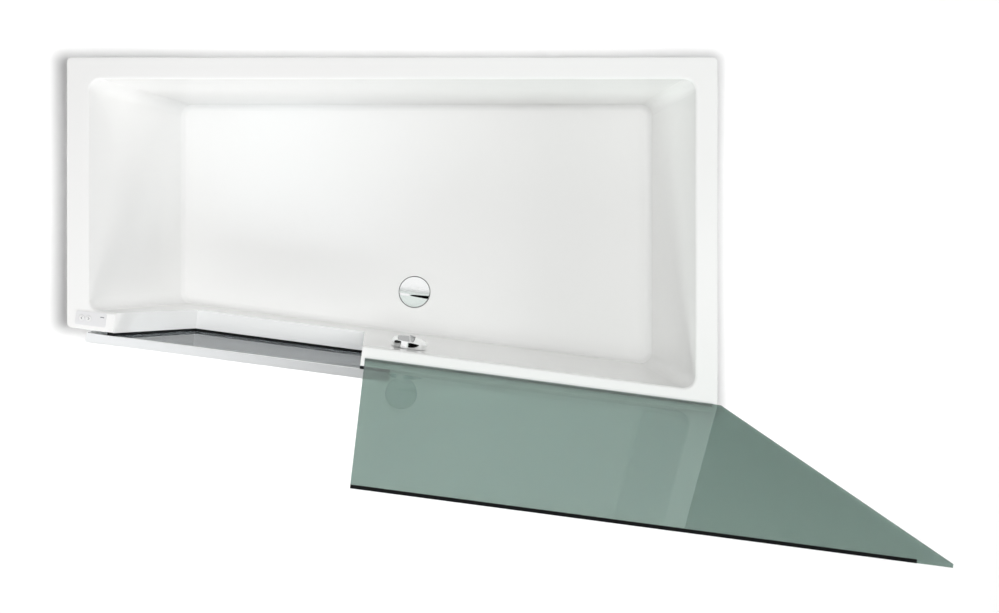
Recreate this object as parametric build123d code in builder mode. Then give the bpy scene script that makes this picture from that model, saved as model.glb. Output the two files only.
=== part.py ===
from build123d import *
import os
from math import atan2, cos, degrees, radians, sin, sqrt

# Tub outline seen from above: straight back, slanted front, narrow left end
tub_length = 1700.0
narrow_width = 705.0
wide_width = 930.0
rim_height = 570.0
floor_height = 120.0
rim_corner_radius = 12.0

# Basin
rim_side = 57.0
rim_front = 53.0
opening_corner_radius = 32.0
floor_corner_radius = 34.0
backrest_run = 178.0
back_draft = 45.5
right_draft = 29.5
floor_fillet = 18.0
rim_fillet = 6.0
edge_fillet = 3.0
shell_wall = 7.0
flange_height = 35.0

# Doorway in the front wall: slanted left jamb, upright right jamb
doorway_left_top = 122.0
doorway_right = 772.7
jamb_run = 172.5
sill_rise = 139.0
seal_plate_drop = 55.0
seal_plate_end = 876.0

# Door leaf
leaf_left = 53.5
leaf_length = 799.5
leaf_lap = 44.0
seal_gap = 8.0
leaf_thickness = 24.2
pane_thickness = 5.0
rail_cap = 12.0
rail_core = 28.0
lock_stile_width = 50.0
hinge_stile_width = 40.0
profile_wall = 2.5
door_seal_width = 13.0
door_seal_squeeze = 0.3

# Hinges
hinge_gap = 0.5
hinge_rise_low = 50.0
hinge_rise_high = 155.0
hinge_length = 60.0
hinge_knuckle_radius = 8.0
hinge_pin_radius = 4.0
hinge_pin_clearance = 0.15
hinge_knuckle_gap = 0.5
hinge_leaf_thickness = 3.5
hinge_moving_width = 20.0
hinge_arm_half = 6.0
hinge_moving_arm = 4.0
pin_head_radius = 6.5
pin_head_height = 3.0

# Fixing screws
screw_radius = 2.5
screw_clearance = 0.2
screw_head_radius = 5.0
screw_head_height = 2.5
screw_length = 18.0
screw_spacing = 36.0

# Lock
striker_width = 20.0
striker_reach = 24.0
striker_thickness = 6.0
striker_base = 3.0
striker_base_height = 44.0
striker_drop = 160.0
striker_clearance = 4.0
lock_distance = 30.5
lock_bolt_radius = 5.0
lock_bolt_depth = 14.0
lock_eye_clearance = 1.2
lock_bore_clearance = 0.3
lock_bolt_length = 24.0
lock_bolt_gap = 3.0
lock_bolt_travel = 14.0
lock_case_width = 44.0
lock_case_depth = 34.0
lock_case_below = 38.0
lock_case_above = 38.0

# Control pad on the front left corner of the rim
pad_length = 81.0
pad_width = 36.0
pad_corner_radius = 5.0
pad_thickness = 1.5
pad_centre_along = 60.0
pad_centre_inboard = 29.5
pad_box_length = 70.0
pad_box_width = 22.0
pad_box_depth = 24.0
pad_box_wall = 2.0
pad_cut_clearance = 0.5
button_radius = 7.0
button_clearance = 0.3
button_rise = 1.2
button_travel = 0.8
button_spacing = 18.0
button_shift = 15.0
button_skirt = 1.6
button_flange = 1.0
button_retainer = 1.5
board_thickness = 1.6
board_seat = 0.1
lamp_length = 10.0
lamp_width = 2.5
lamp_rise = 0.3
lamp_shift = 29.0
lamp_offset = 7.5
lead_radius = 2.5

# Glass screen
screen_gap = 10.0
screen_overhang = 8.0
screen_height = 1430.0
screen_inboard = 21.7
screen_thickness = 6.0
screen_notch_rise = 0.6
channel_wall = 1.5
channel_depth = 25.0
gasket_wall = 1.2
slot_clearance = 0.2
screen_end_gap = 3.0
trim_end_gap = 57.0
trim_height = 1.5

# Waste in the floor
waste_inboard = 172.5
waste_along = 903.0
waste_cover_radius = 45.0
waste_cover_thickness = 3.0
waste_cover_rise = 0.5
waste_cover_fold = 1.2
waste_fold_offset = 11.4
waste_ring_gap = 2.0
waste_recess = 6.0
waste_boss_radius = 57.0
waste_hole_radius = 30.0
waste_flange_radius = 44.0
waste_flange_thickness = 1.5
waste_throat_radius = 28.0
waste_throat_wall = 2.0
waste_throat_depth = 22.0
waste_guide_radius = 8.0
waste_guide_height = 10.0
waste_spoke_width = 4.0
waste_spokes = 4
stem_radius = 4.0
stem_clearance = 0.3
stem_length = 52.0
plug_ring_radius = 40.0
plug_ring_width = 4.0
body_flange_radius = 50.0
body_flange_thickness = 4.0
body_radius = 37.0
body_wall = 3.0
body_drop = 98.0
gasket_thickness = 2.0
port_length = 14.0
outlet_radius = 25.0
outlet_wall = 2.0
outlet_drop = 72.0
outlet_length = 150.0
outlet_socket_length = 42.0
outlet_socket_wall = 3.0
outlet_shoulder = 3.0

# Overflow with its rotary handle
overflow_offset = 7.3
overflow_drop = 96.0
knob_radius = 48.0
knob_gap = 1.5
knob_edge = 20.0
knob_projection = 31.0
knob_wall = 3.0
spindle_radius = 5.0
spindle_clearance = 0.3
overflow_hole_radius = 26.0
overflow_ring_radius = 34.0
overflow_ring_flange = 1.2
overflow_ring_wall = 2.0
overflow_gasket = 2.0
housing_radius = 36.0
housing_gap = 2.0
housing_wall = 2.5
overflow_pipe_radius = 16.0
overflow_pipe_wall = 1.8
overflow_pipe_drop = 64.0
overflow_pipe_clearance = 1.5
overflow_bend = 40.0
spigot_length = 16.0
cable_radius = 3.0
cable_offset = 25.0
cable_bend = 58.0
cable_drop = 54.0
nipple_radius = 5.5
nipple_length = 20.0

# Base board and steel frame
board_depth = 12.0
board_inset = 28.0
board_waste_clearance = 5.0
tube = 25.0
tube_wall = 2.0
rail_inset = 10.0
cross_rail_positions = (0.0, 821.0, 1240.0)
door_post_along = 828.0
left_post_distance = 545.0
bracket_rise = 11.0
bracket_drop = 14.0
bracket_gap = 1.0
bracket_steps = 2
bracket_height = 20.0
bracket_thickness = 3.0

# Levelling feet
foot_radius = 18.0
foot_height = 10.0
foot_neck_radius = 9.0
foot_neck_height = 4.0
stud_radius = 5.0
nut_width = 17.0
nut_height = 8.0
stud_gap = 0.1
foot_end_inset = 60.0

# Aprons
apron_recess = 3.0
apron_ground = 20.0
panel_gap = 2.0

# One overrun for every cut
overrun = 1.0

# Worked out from the above
slant = degrees(atan2(wide_width - narrow_width, tub_length))
slant_sin = sin(radians(slant))
slant_cos = cos(radians(slant))
slant_tan = slant_sin / slant_cos
front_length = tub_length / slant_cos
overall_length = tub_length + screen_overhang
overall_width = wide_width - rim_corner_radius * (slant_tan + 1 / slant_cos - 1)
left_x = -overall_length / 2
right_x = left_x + tub_length
back_y = overall_width / 2
front_left_y = back_y - narrow_width
rim_underside = rim_height - shell_wall
sill_height = floor_height + sill_rise
jamb_slope = jamb_run / (rim_height - sill_height)
jamb_stretch = sqrt(1 + jamb_slope**2)
seal_plate_bottom = sill_height - seal_plate_drop
apron_top = rim_height - flange_height - panel_gap
leaf_right = leaf_left + leaf_length
leaf_bottom = sill_height - leaf_lap
leaf_inner = -seal_gap
leaf_outer = -seal_gap - leaf_thickness
hinge_along = leaf_right + hinge_leaf_thickness + hinge_gap + hinge_knuckle_radius
hinge_heights = (leaf_bottom + hinge_rise_low, leaf_bottom + hinge_rise_high)
hinge_out = -seal_gap - leaf_thickness / 2
board_top = floor_height - shell_wall
board_bottom = board_top - board_depth
rail_bottom = board_bottom - tube
cross_bottom = rail_bottom - tube
channel_half = screen_thickness / 2 + gasket_wall + channel_wall
screen_middle = screen_inboard - screen_thickness / 2
screen_start = doorway_right + screen_gap
screen_end = (tub_length + screen_overhang - screen_inboard * slant_sin) / slant_cos
channel_bottom = rim_height - channel_depth
front_rail_top = channel_bottom
channel_end = (tub_length - shell_wall - screen_inboard * slant_sin) / slant_cos - screen_end_gap
wall_back = rim_front - shell_wall
lock_along = leaf_left + lock_distance
striker_height = rim_height - striker_drop
overflow_along = waste_along - overflow_offset
overflow_height = rim_height - overflow_drop
overflow_pipe_height = floor_height - overflow_pipe_drop
outlet_axis_height = floor_height - outlet_drop
body_bottom = floor_height - body_drop
cable_height = floor_height - cable_drop


def plan(height):
    """Level plane at a height, in the tub's own directions"""
    return Plane.XY.offset(height)


def front_plan(height):
    """Level plane with x along the slanted front and y inboard from it"""
    origin = (left_x, front_left_y, height)
    return Plane(origin=origin, x_dir=(slant_cos, -slant_sin, 0), z_dir=(0, 0, 1))


def front_elevation(inboard):
    """Upright plane parallel to the front, x along it, y up, facing outwards"""
    origin = front_plan(0).from_local_coords((0, inboard, 0))
    return Plane(origin=origin, x_dir=(slant_cos, -slant_sin, 0), z_dir=(-slant_sin, -slant_cos, 0))


def cross_elevation(along):
    """Upright plane across the front, x inboard, y up, facing along the front"""
    origin = front_plan(0).from_local_coords((along, 0, 0))
    return Plane(origin=origin, x_dir=(slant_sin, slant_cos, 0), z_dir=(slant_cos, -slant_sin, 0))


def front_y(x, inboard):
    """Place across the tub of the line that runs inboard of the front"""
    return front_left_y - (x - left_x) * slant_tan + inboard / slant_cos


def outline(left, right, back, front):
    """Corners of a plan outline from its distances to the four sides of the tub"""
    x_left = left_x + left
    x_right = right_x - right
    y_back = back_y - back
    return [
        (x_left, front_y(x_left, front)),
        (x_right, front_y(x_right, front)),
        (x_right, y_back),
        (x_left, y_back),
    ]


def rounded_face(height, corners, radius):
    """Level face with all of its corners rounded alike"""
    with BuildSketch(plan(height)) as face:
        with BuildLine():
            Polyline(*corners, close=True)
        make_face()
        fillet(face.vertices(), radius)
    return face.sketch


def add_prism(plane, corners, amount, mode=Mode.ADD):
    """Prism on a plane over a polygon"""
    with BuildSketch(plane) as face:
        with BuildLine():
            Polyline(*corners, close=True)
        make_face()
    extrude(face.sketch, amount=amount, mode=mode)


def add_front_block(along, inboard, heights, mode=Mode.ADD):
    """Block with its sides along and across the slanted front"""
    corners = [
        (along[0], inboard[0]),
        (along[1], inboard[0]),
        (along[1], inboard[1]),
        (along[0], inboard[1]),
    ]
    add_prism(front_plan(heights[0]), corners, heights[1] - heights[0], mode)


def add_disc(plane, centre, radius, amount, mode=Mode.ADD):
    """Cylinder that stands on a plane"""
    with BuildSketch(plane) as face:
        with Locations(centre):
            Circle(radius)
    extrude(face.sketch, amount=amount, mode=mode)


def add_turned(plane, axis, corners, mode=Mode.ADD):
    """Body turned about an axis from a half section"""
    with BuildSketch(plane) as section:
        with BuildLine():
            Polyline(*corners, close=True)
        make_face()
    revolve(section.sketch, axis=axis, mode=mode)


def doorway(grow, top):
    """Corners of the doorway, grown by a margin, in the front's upright plane"""
    bottom = sill_height - grow
    shift = grow * jamb_stretch
    left_top = doorway_left_top + jamb_slope * (rim_height - top) - shift
    left_bottom = doorway_left_top + jamb_slope * (rim_height - bottom) - shift
    right = doorway_right + grow
    return [(left_top, top), (left_bottom, bottom), (right, bottom), (right, top)]


def write(piece, name):
    """Label a finished piece and write its file"""
    piece.part.label = name
    export_step(piece.part, f"parts/{name}.step")


os.makedirs("parts", exist_ok=True)

# Places of the waste and the overflow, one in line with the other
waste_point = front_plan(0).from_local_coords((waste_along, waste_inboard, 0))
waste_section = Plane(origin=waste_point, x_dir=(1, 0, 0), z_dir=(0, -1, 0))
waste_axis = Axis(waste_point, (0, 0, 1))
overflow_point = front_plan(0).from_local_coords((overflow_along, rim_front, overflow_height))
overflow_section = Plane(origin=overflow_point, x_dir=(0, 0, 1), z_dir=(-slant_cos, slant_sin, 0))
overflow_axis = Axis(overflow_point, (slant_sin, slant_cos, 0))

# Tub shell: the space of the basin is a ruled loft with a rounded foot
opening_corners = outline(rim_side, rim_side, rim_side, rim_front)
floor_corners = outline(
    rim_side + backrest_run, rim_side + right_draft, rim_side + back_draft, rim_front
)
with BuildPart() as basin_space:
    opening = rounded_face(rim_height, opening_corners, opening_corner_radius)
    bottom = rounded_face(floor_height, floor_corners, floor_corner_radius)
    loft([opening, bottom], ruled=True)
    fillet(basin_space.edges().group_by(Axis.Z)[0], floor_fillet)

outer_top_corners = outline(
    rim_side - shell_wall, rim_side - shell_wall, rim_side - shell_wall, wall_back
)
outer_floor_corners = outline(
    rim_side + backrest_run - shell_wall,
    rim_side + right_draft - shell_wall,
    rim_side + back_draft - shell_wall,
    wall_back,
)
with BuildPart() as basin_body:
    opening = rounded_face(rim_height, outer_top_corners, opening_corner_radius + shell_wall)
    bottom = rounded_face(board_top, outer_floor_corners, floor_corner_radius + shell_wall)
    loft([opening, bottom], ruled=True)
    fillet(basin_body.edges().group_by(Axis.Z)[0], floor_fillet + shell_wall)

with BuildPart() as tub_shell:
    rim = rounded_face(rim_height - flange_height, outline(0, 0, 0, 0), rim_corner_radius)
    extrude(rim, amount=flange_height)
    hollow = outline(shell_wall, shell_wall, shell_wall, shell_wall)
    hollow_height = flange_height - shell_wall
    add_prism(plan(rim_height - flange_height), hollow, hollow_height, Mode.SUBTRACT)
    add(basin_body.part)
    add(basin_space.part, mode=Mode.SUBTRACT)
    rim_face = tub_shell.faces().filter_by(GeomType.PLANE).sort_by(Axis.Z)[-1]
    fillet(rim_face.inner_wires()[0].edges(), rim_fillet)
    rim_face = tub_shell.faces().filter_by(GeomType.PLANE).sort_by(Axis.Z)[-1]
    fillet(rim_face.outer_wire().edges(), edge_fillet)
    # Plate that the door closes on, and the lining of the doorway
    plate_start = shell_wall + panel_gap
    plate = [
        (plate_start, seal_plate_bottom),
        (seal_plate_end, seal_plate_bottom),
        (seal_plate_end, rim_underside),
        (plate_start, rim_underside),
    ]
    add_prism(front_elevation(0), plate, -shell_wall)
    add_prism(front_elevation(0), doorway(shell_wall, rim_underside), -rim_front)
    cut_depth = rim_front + floor_fillet
    add_prism(
        front_elevation(-overrun),
        doorway(0, rim_height + overrun),
        -cut_depth - overrun,
        Mode.SUBTRACT,
    )
    # Seat of the waste
    seat_top = floor_height - waste_recess
    seat_bottom = seat_top - shell_wall
    centre = (waste_along, waste_inboard)
    add_disc(front_plan(seat_bottom), centre, waste_boss_radius, board_top - seat_bottom)
    recess_radius = waste_cover_radius + waste_ring_gap
    add_disc(front_plan(seat_top), centre, recess_radius, waste_recess, Mode.SUBTRACT)
    add_disc(
        front_plan(seat_bottom), centre, waste_hole_radius, shell_wall, Mode.SUBTRACT
    )
    # Overflow hole, striker slot, holes for the hinge screws
    add_disc(
        front_elevation(wall_back - overrun),
        (overflow_along, overflow_height),
        overflow_hole_radius,
        -shell_wall - 2 * overrun,
        Mode.SUBTRACT,
    )
    slot_half = striker_width / 2 + striker_clearance
    slot_rise = striker_thickness / 2 + striker_clearance
    add_front_block(
        (lock_along - slot_half, lock_along + slot_half),
        (-overrun, shell_wall + overrun),
        (striker_height - slot_rise, striker_height + slot_rise),
        Mode.SUBTRACT,
    )
    for height in hinge_heights:
        for side in (-1, 1):
            add_disc(
                front_elevation(-overrun),
                (door_post_along + tube / 2, height + side * screw_spacing / 2),
                screw_radius + screw_clearance,
                -shell_wall - 2 * overrun,
                Mode.SUBTRACT,
            )
    # Slot for the screen's channel and cut-out for the control pad
    add_front_block(
        (screen_start - channel_wall - slot_clearance, channel_end + slot_clearance),
        (
            screen_middle - channel_half - slot_clearance,
            screen_middle + channel_half + slot_clearance,
        ),
        (rim_underside - overrun, rim_height + overrun),
        Mode.SUBTRACT,
    )
    pad_cut_length = pad_box_length / 2 + pad_cut_clearance
    pad_cut_width = pad_box_width / 2 + pad_cut_clearance
    add_front_block(
        (pad_centre_along - pad_cut_length, pad_centre_along + pad_cut_length),
        (pad_centre_inboard - pad_cut_width, pad_centre_inboard + pad_cut_width),
        (rim_underside - overrun, rim_height + overrun),
        Mode.SUBTRACT,
    )
write(tub_shell, "tub_shell")

# Base board under the floor
board_corners = outline(
    rim_side + backrest_run - shell_wall + board_inset,
    rim_side + right_draft - shell_wall + board_inset,
    rim_side + back_draft - shell_wall + board_inset,
    wall_back + board_inset,
)
with BuildPart() as base_board:
    extrude(rounded_face(board_bottom, board_corners, floor_corner_radius), amount=board_depth)
    add_disc(
        front_plan(board_bottom),
        (waste_along, waste_inboard),
        waste_boss_radius + board_waste_clearance,
        board_depth,
        Mode.SUBTRACT,
    )
write(base_board, "base_board")

# Steel frame: long rails under the board, cross rails under those, posts and top rails
inner_x_left = left_x + shell_wall
inner_x_right = right_x - shell_wall
inner_y_back = back_y - shell_wall


def add_tube_along_x(x_span, y_low, z_low):
    """Square tube along the tub's length"""
    corners = [
        (x_span[0], y_low),
        (x_span[1], y_low),
        (x_span[1], y_low + tube),
        (x_span[0], y_low + tube),
    ]
    add_prism(plan(z_low), corners, tube)
    hollow_corners = [
        (x_span[0], y_low + tube_wall),
        (x_span[1], y_low + tube_wall),
        (x_span[1], y_low + tube - tube_wall),
        (x_span[0], y_low + tube - tube_wall),
    ]
    add_prism(plan(z_low + tube_wall), hollow_corners, tube - 2 * tube_wall, Mode.SUBTRACT)


def add_tube_along_front(along, inboard, z_low):
    """Square tube parallel to the slanted front"""
    add_front_block(along, (inboard, inboard + tube), (z_low, z_low + tube))
    hollow_inboard = (inboard + tube_wall, inboard + tube - tube_wall)
    hollow_heights = (z_low + tube_wall, z_low + tube - tube_wall)
    add_front_block(along, hollow_inboard, hollow_heights, Mode.SUBTRACT)


def add_cross_rail(x_low):
    """Square tube from the back to the slanted front, cut along the front's line"""
    for inset, mode in ((0, Mode.ADD), (tube_wall, Mode.SUBTRACT)):
        x_start = x_low + inset
        x_stop = x_low + tube - inset
        corners = [
            (x_start, front_y(x_start, shell_wall)),
            (x_stop, front_y(x_stop, shell_wall)),
            (x_stop, inner_y_back),
            (x_start, inner_y_back),
        ]
        add_prism(plan(cross_bottom + inset), corners, tube - 2 * inset, mode)


def add_post(plane, corner, height):
    """Upright square tube on a level plane"""
    for inset, mode in ((0, Mode.ADD), (tube_wall, Mode.SUBTRACT)):
        corners = [
            (corner[0] + inset, corner[1] + inset),
            (corner[0] + tube - inset, corner[1] + inset),
            (corner[0] + tube - inset, corner[1] + tube - inset),
            (corner[0] + inset, corner[1] + tube - inset),
        ]
        add_prism(plane, corners, height, mode)


rail_ends = (inner_x_left, inner_x_right)
back_rail_y = back_y - rim_side - back_draft - rail_inset - board_inset - tube
with BuildPart() as back_rail:
    add_tube_along_x(rail_ends, back_rail_y, rail_bottom)
write(back_rail, "back_rail")

front_rail_inboard = wall_back + board_inset + rail_inset
front_rail_start = (shell_wall + rail_inset) / slant_cos
front_rail_end = (tub_length - shell_wall) / slant_cos - (front_rail_inboard + tube) * slant_tan
with BuildPart() as front_rail:
    add_tube_along_front((front_rail_start, front_rail_end), front_rail_inboard, rail_bottom)
write(front_rail, "front_rail")

cross_rail_x = [inner_x_left + cross_rail_positions[0]]
cross_rail_x += [left_x + place for place in cross_rail_positions[1:]]
cross_rail_x.append(inner_x_right - tube)
cross_rail_names = ["cross_rail_left", "cross_rail_doorway", "cross_rail_middle", "cross_rail_right"]
for x_low, name in zip(cross_rail_x, cross_rail_names):
    with BuildPart() as cross_rail:
        add_cross_rail(x_low)
    write(cross_rail, name)

back_post_height = rim_underside - tube - rail_bottom
back_post_y = inner_y_back - tube
for x_low, name in (
    (cross_rail_x[0], "post_back_left"),
    (cross_rail_x[3], "post_back_right"),
):
    with BuildPart() as post:
        add_post(plan(rail_bottom), (x_low, back_post_y), back_post_height)
    write(post, name)

with BuildPart() as post_front_left:
    post_y = back_y - left_post_distance - tube
    add_post(plan(rail_bottom), (inner_x_left, post_y), rim_underside - rail_bottom)
write(post_front_left, "post_front_left")

with BuildPart() as post_hinge:
    height = front_rail_top - tube - rail_bottom
    add_post(front_plan(rail_bottom), (door_post_along, shell_wall), height)
    for height in hinge_heights:
        for side in (-1, 1):
            add_disc(
                front_elevation(shell_wall - overrun),
                (door_post_along + tube / 2, height + side * screw_spacing / 2),
                screw_radius + screw_clearance,
                -tube_wall - 2 * overrun,
                Mode.SUBTRACT,
            )
write(post_hinge, "post_hinge")

right_post_along = front_rail_end - tube
with BuildPart() as post_front_right:
    height = front_rail_top - tube - rail_bottom
    add_post(front_plan(rail_bottom), (right_post_along, shell_wall), height)
write(post_front_right, "post_front_right")

with BuildPart() as top_rail_back:
    add_tube_along_x(rail_ends, back_post_y, rim_underside - tube)
write(top_rail_back, "top_rail_back")

with BuildPart() as top_rail_front:
    span = (door_post_along, right_post_along + tube)
    add_tube_along_front(span, shell_wall, front_rail_top - tube)
write(top_rail_front, "top_rail_front")

# Levelling feet under the ends of the cross rails
foot_places = []
for x_low in cross_rail_x:
    x = x_low + tube / 2
    foot_places.append((x, inner_y_back - foot_end_inset))
    foot_places.append((x, front_y(x, shell_wall + foot_end_inset)))
foot_top = foot_height + foot_neck_height
with BuildPart() as foot_pads:
    for place in foot_places:
        add_disc(plan(0), place, foot_radius, foot_height)
        add_disc(plan(foot_height), place, foot_neck_radius, foot_neck_height)
write(foot_pads, "foot_pads")

with BuildPart() as foot_studs:
    for place in foot_places:
        add_disc(plan(foot_top), place, stud_radius, cross_bottom - foot_top)
write(foot_studs, "foot_studs")

with BuildPart() as foot_nuts:
    for place in foot_places:
        with BuildSketch(plan(cross_bottom - nut_height)) as face:
            with Locations(place):
                RegularPolygon(nut_width / 2, 6, major_radius=False)
                Circle(stud_radius + stud_gap, mode=Mode.SUBTRACT)
        extrude(face.sketch, amount=nut_height)
write(foot_nuts, "foot_nuts")

# Aprons, set back a little from the rim, with clips to the hinge post
with BuildPart() as front_apron:
    add_front_block(
        (seal_plate_end + panel_gap, front_length - panel_gap - apron_recess),
        (apron_recess, shell_wall),
        (apron_ground, apron_top),
    )
write(front_apron, "front_apron")

with BuildPart() as sill_apron:
    add_front_block(
        (plate_start, seal_plate_end),
        (apron_recess, shell_wall),
        (apron_ground, seal_plate_bottom - panel_gap),
    )
write(sill_apron, "sill_apron")

with BuildPart() as left_apron:
    x_start = left_x + apron_recess
    x_stop = left_x + shell_wall
    corners = [
        (x_start, front_y(x_start, apron_recess)),
        (x_stop, front_y(x_stop, apron_recess)),
        (x_stop, inner_y_back),
        (x_start, inner_y_back),
    ]
    add_prism(plan(apron_ground), corners, apron_top - apron_ground)
write(left_apron, "left_apron")

clip_bottom = board_top + bracket_rise
clip_top = overflow_height - housing_radius - bracket_drop
clip_spacing = (clip_top - bracket_height - clip_bottom) / bracket_steps
with BuildPart() as apron_clips:
    for step in range(bracket_steps + 1):
        bottom = clip_bottom + step * clip_spacing
        add_front_block(
            (door_post_along + tube, overflow_along - overflow_pipe_radius - bracket_gap),
            (shell_wall, shell_wall + bracket_thickness),
            (bottom, bottom + bracket_height),
        )
write(apron_clips, "apron_clips")

# Door: two panes bonded to a frame of rails and stiles
seal_face = door_seal_squeeze - seal_gap
with BuildPart() as door_seal:
    add_prism(front_elevation(0), doorway(door_seal_width, rim_height), -seal_face)
    add_prism(
        front_elevation(overrun),
        doorway(0, rim_height + overrun),
        -seal_face + 2 * overrun,
        Mode.SUBTRACT,
    )
write(door_seal, "door_seal")

pane_bottom = leaf_bottom + rail_cap
pane_top = rim_height - rail_cap
outer_core = leaf_outer + pane_thickness
inner_core = leaf_inner - pane_thickness
lock_stile_end = leaf_left + lock_stile_width
with BuildPart() as door_outer_glass:
    add_front_block((leaf_left, leaf_right), (leaf_outer, outer_core), (pane_bottom, pane_top))
write(door_outer_glass, "door_outer_glass")

with BuildPart() as door_inner_glass:
    add_front_block((lock_stile_end, leaf_right), (inner_core, leaf_inner), (pane_bottom, pane_top))
write(door_inner_glass, "door_inner_glass")


def add_door_rail(cap, core):
    """Door rail: a cap over the full thickness and a core between the panes"""
    add_front_block((leaf_left, leaf_right), (leaf_outer, leaf_inner), cap)
    core_span = (lock_stile_end, leaf_right - hinge_stile_width)
    add_front_block(core_span, (outer_core, inner_core), core)
    hollow_inboard = (outer_core + profile_wall, inner_core - profile_wall)
    hollow_heights = (core[0] + profile_wall, core[1] - profile_wall)
    add_front_block(core_span, hollow_inboard, hollow_heights, Mode.SUBTRACT)


with BuildPart() as door_top_rail:
    add_door_rail((pane_top, rim_height), (pane_top - rail_core, pane_top))
write(door_top_rail, "door_top_rail")

with BuildPart() as door_bottom_rail:
    add_door_rail((leaf_bottom, pane_bottom), (pane_bottom, pane_bottom + rail_core))
write(door_bottom_rail, "door_bottom_rail")

with BuildPart() as door_lock_stile:
    add_front_block((leaf_left, lock_stile_end), (outer_core, leaf_inner), (pane_bottom, pane_top))
    add_front_block(
        (leaf_left + profile_wall, lock_stile_end - profile_wall),
        (outer_core + profile_wall, leaf_inner - profile_wall),
        (pane_bottom, pane_top),
        Mode.SUBTRACT,
    )
write(door_lock_stile, "door_lock_stile")

with BuildPart() as door_hinge_stile:
    stile_span = (leaf_right - hinge_stile_width, leaf_right)
    add_front_block(stile_span, (outer_core, inner_core), (pane_bottom, pane_top))
    add_front_block(
        (stile_span[0] + profile_wall, stile_span[1] - profile_wall),
        (outer_core + profile_wall, inner_core - profile_wall),
        (pane_bottom, pane_top),
        Mode.SUBTRACT,
    )
    for height in hinge_heights:
        for side in (-1, 1):
            add_disc(
                cross_elevation(leaf_right + overrun),
                (hinge_out, height + side * screw_spacing / 2),
                screw_radius + screw_clearance,
                -profile_wall - 2 * overrun,
                Mode.SUBTRACT,
            )
write(door_hinge_stile, "door_hinge_stile")

# Hinges: outer knuckles on the frame, middle knuckle on the leaf
knuckle_third = hinge_length / 3
pin_hole = hinge_pin_radius + hinge_pin_clearance
hinge_centre = (hinge_along, hinge_out)
with BuildPart() as hinge_frame_leaves:
    for height in hinge_heights:
        bottom = height - hinge_length / 2
        add_front_block(
            (door_post_along, hinge_along + hinge_arm_half),
            (-hinge_leaf_thickness, 0),
            (bottom, bottom + hinge_length),
        )
        for part_bottom in (bottom, bottom + 2 * knuckle_third):
            add_front_block(
                (hinge_along - hinge_arm_half, hinge_along + hinge_arm_half),
                (hinge_out, -hinge_leaf_thickness),
                (part_bottom, part_bottom + knuckle_third),
            )
            add_disc(front_plan(part_bottom), hinge_centre, hinge_knuckle_radius, knuckle_third)
        add_disc(front_plan(bottom), hinge_centre, pin_hole, hinge_length, Mode.SUBTRACT)
        for side in (-1, 1):
            add_disc(
                front_elevation(0),
                (door_post_along + tube / 2, height + side * screw_spacing / 2),
                screw_radius + screw_clearance,
                hinge_leaf_thickness,
                Mode.SUBTRACT,
            )
            add_disc(
                front_elevation(screw_head_height - hinge_leaf_thickness),
                (door_post_along + tube / 2, height + side * screw_spacing / 2),
                screw_head_radius + screw_clearance,
                screw_head_height,
                Mode.SUBTRACT,
            )
write(hinge_frame_leaves, "hinge_frame_leaves")

with BuildPart() as hinge_door_leaves:
    for height in hinge_heights:
        bottom = height - hinge_length / 2
        middle_bottom = bottom + knuckle_third + hinge_knuckle_gap
        middle_height = knuckle_third - 2 * hinge_knuckle_gap
        add_front_block(
            (leaf_right, leaf_right + hinge_leaf_thickness),
            (hinge_out - hinge_moving_width / 2, hinge_out + hinge_moving_width / 2),
            (bottom, bottom + hinge_length),
        )
        add_front_block(
            (leaf_right, hinge_along),
            (hinge_out - hinge_moving_arm, hinge_out + hinge_moving_arm),
            (middle_bottom, middle_bottom + middle_height),
        )
        add_disc(front_plan(middle_bottom), hinge_centre, hinge_knuckle_radius, middle_height)
        add_disc(front_plan(bottom), hinge_centre, pin_hole, hinge_length, Mode.SUBTRACT)
        for side in (-1, 1):
            centre = (hinge_out, height + side * screw_spacing / 2)
            head_plane = cross_elevation(leaf_right + hinge_leaf_thickness)
            hole = screw_radius + screw_clearance
            recess = screw_head_radius + screw_clearance
            add_disc(head_plane, centre, hole, -hinge_leaf_thickness, Mode.SUBTRACT)
            add_disc(head_plane, centre, recess, -screw_head_height, Mode.SUBTRACT)
write(hinge_door_leaves, "hinge_door_leaves")

with BuildPart() as hinge_door_screws:
    for height in hinge_heights:
        for side in (-1, 1):
            centre = (hinge_out, height + side * screw_spacing / 2)
            head_plane = cross_elevation(leaf_right + hinge_leaf_thickness)
            add_disc(head_plane, centre, screw_head_radius, -screw_head_height)
            add_disc(head_plane, centre, screw_radius, -screw_length)
write(hinge_door_screws, "hinge_door_screws")

with BuildPart() as hinge_pins:
    for height in hinge_heights:
        bottom = height - hinge_length / 2
        top = height + hinge_length / 2
        add_disc(front_plan(bottom), hinge_centre, hinge_pin_radius, hinge_length)
        add_disc(front_plan(top), hinge_centre, pin_head_radius, pin_head_height)
write(hinge_pins, "hinge_pins")

with BuildPart() as hinge_frame_screws:
    for height in hinge_heights:
        for side in (-1, 1):
            centre = (door_post_along + tube / 2, height + side * screw_spacing / 2)
            head_face = -hinge_leaf_thickness
            add_disc(front_elevation(head_face), centre, screw_head_radius, -screw_head_height)
            add_disc(front_elevation(head_face), centre, screw_radius, -screw_length)
write(hinge_frame_screws, "hinge_frame_screws")

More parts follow.
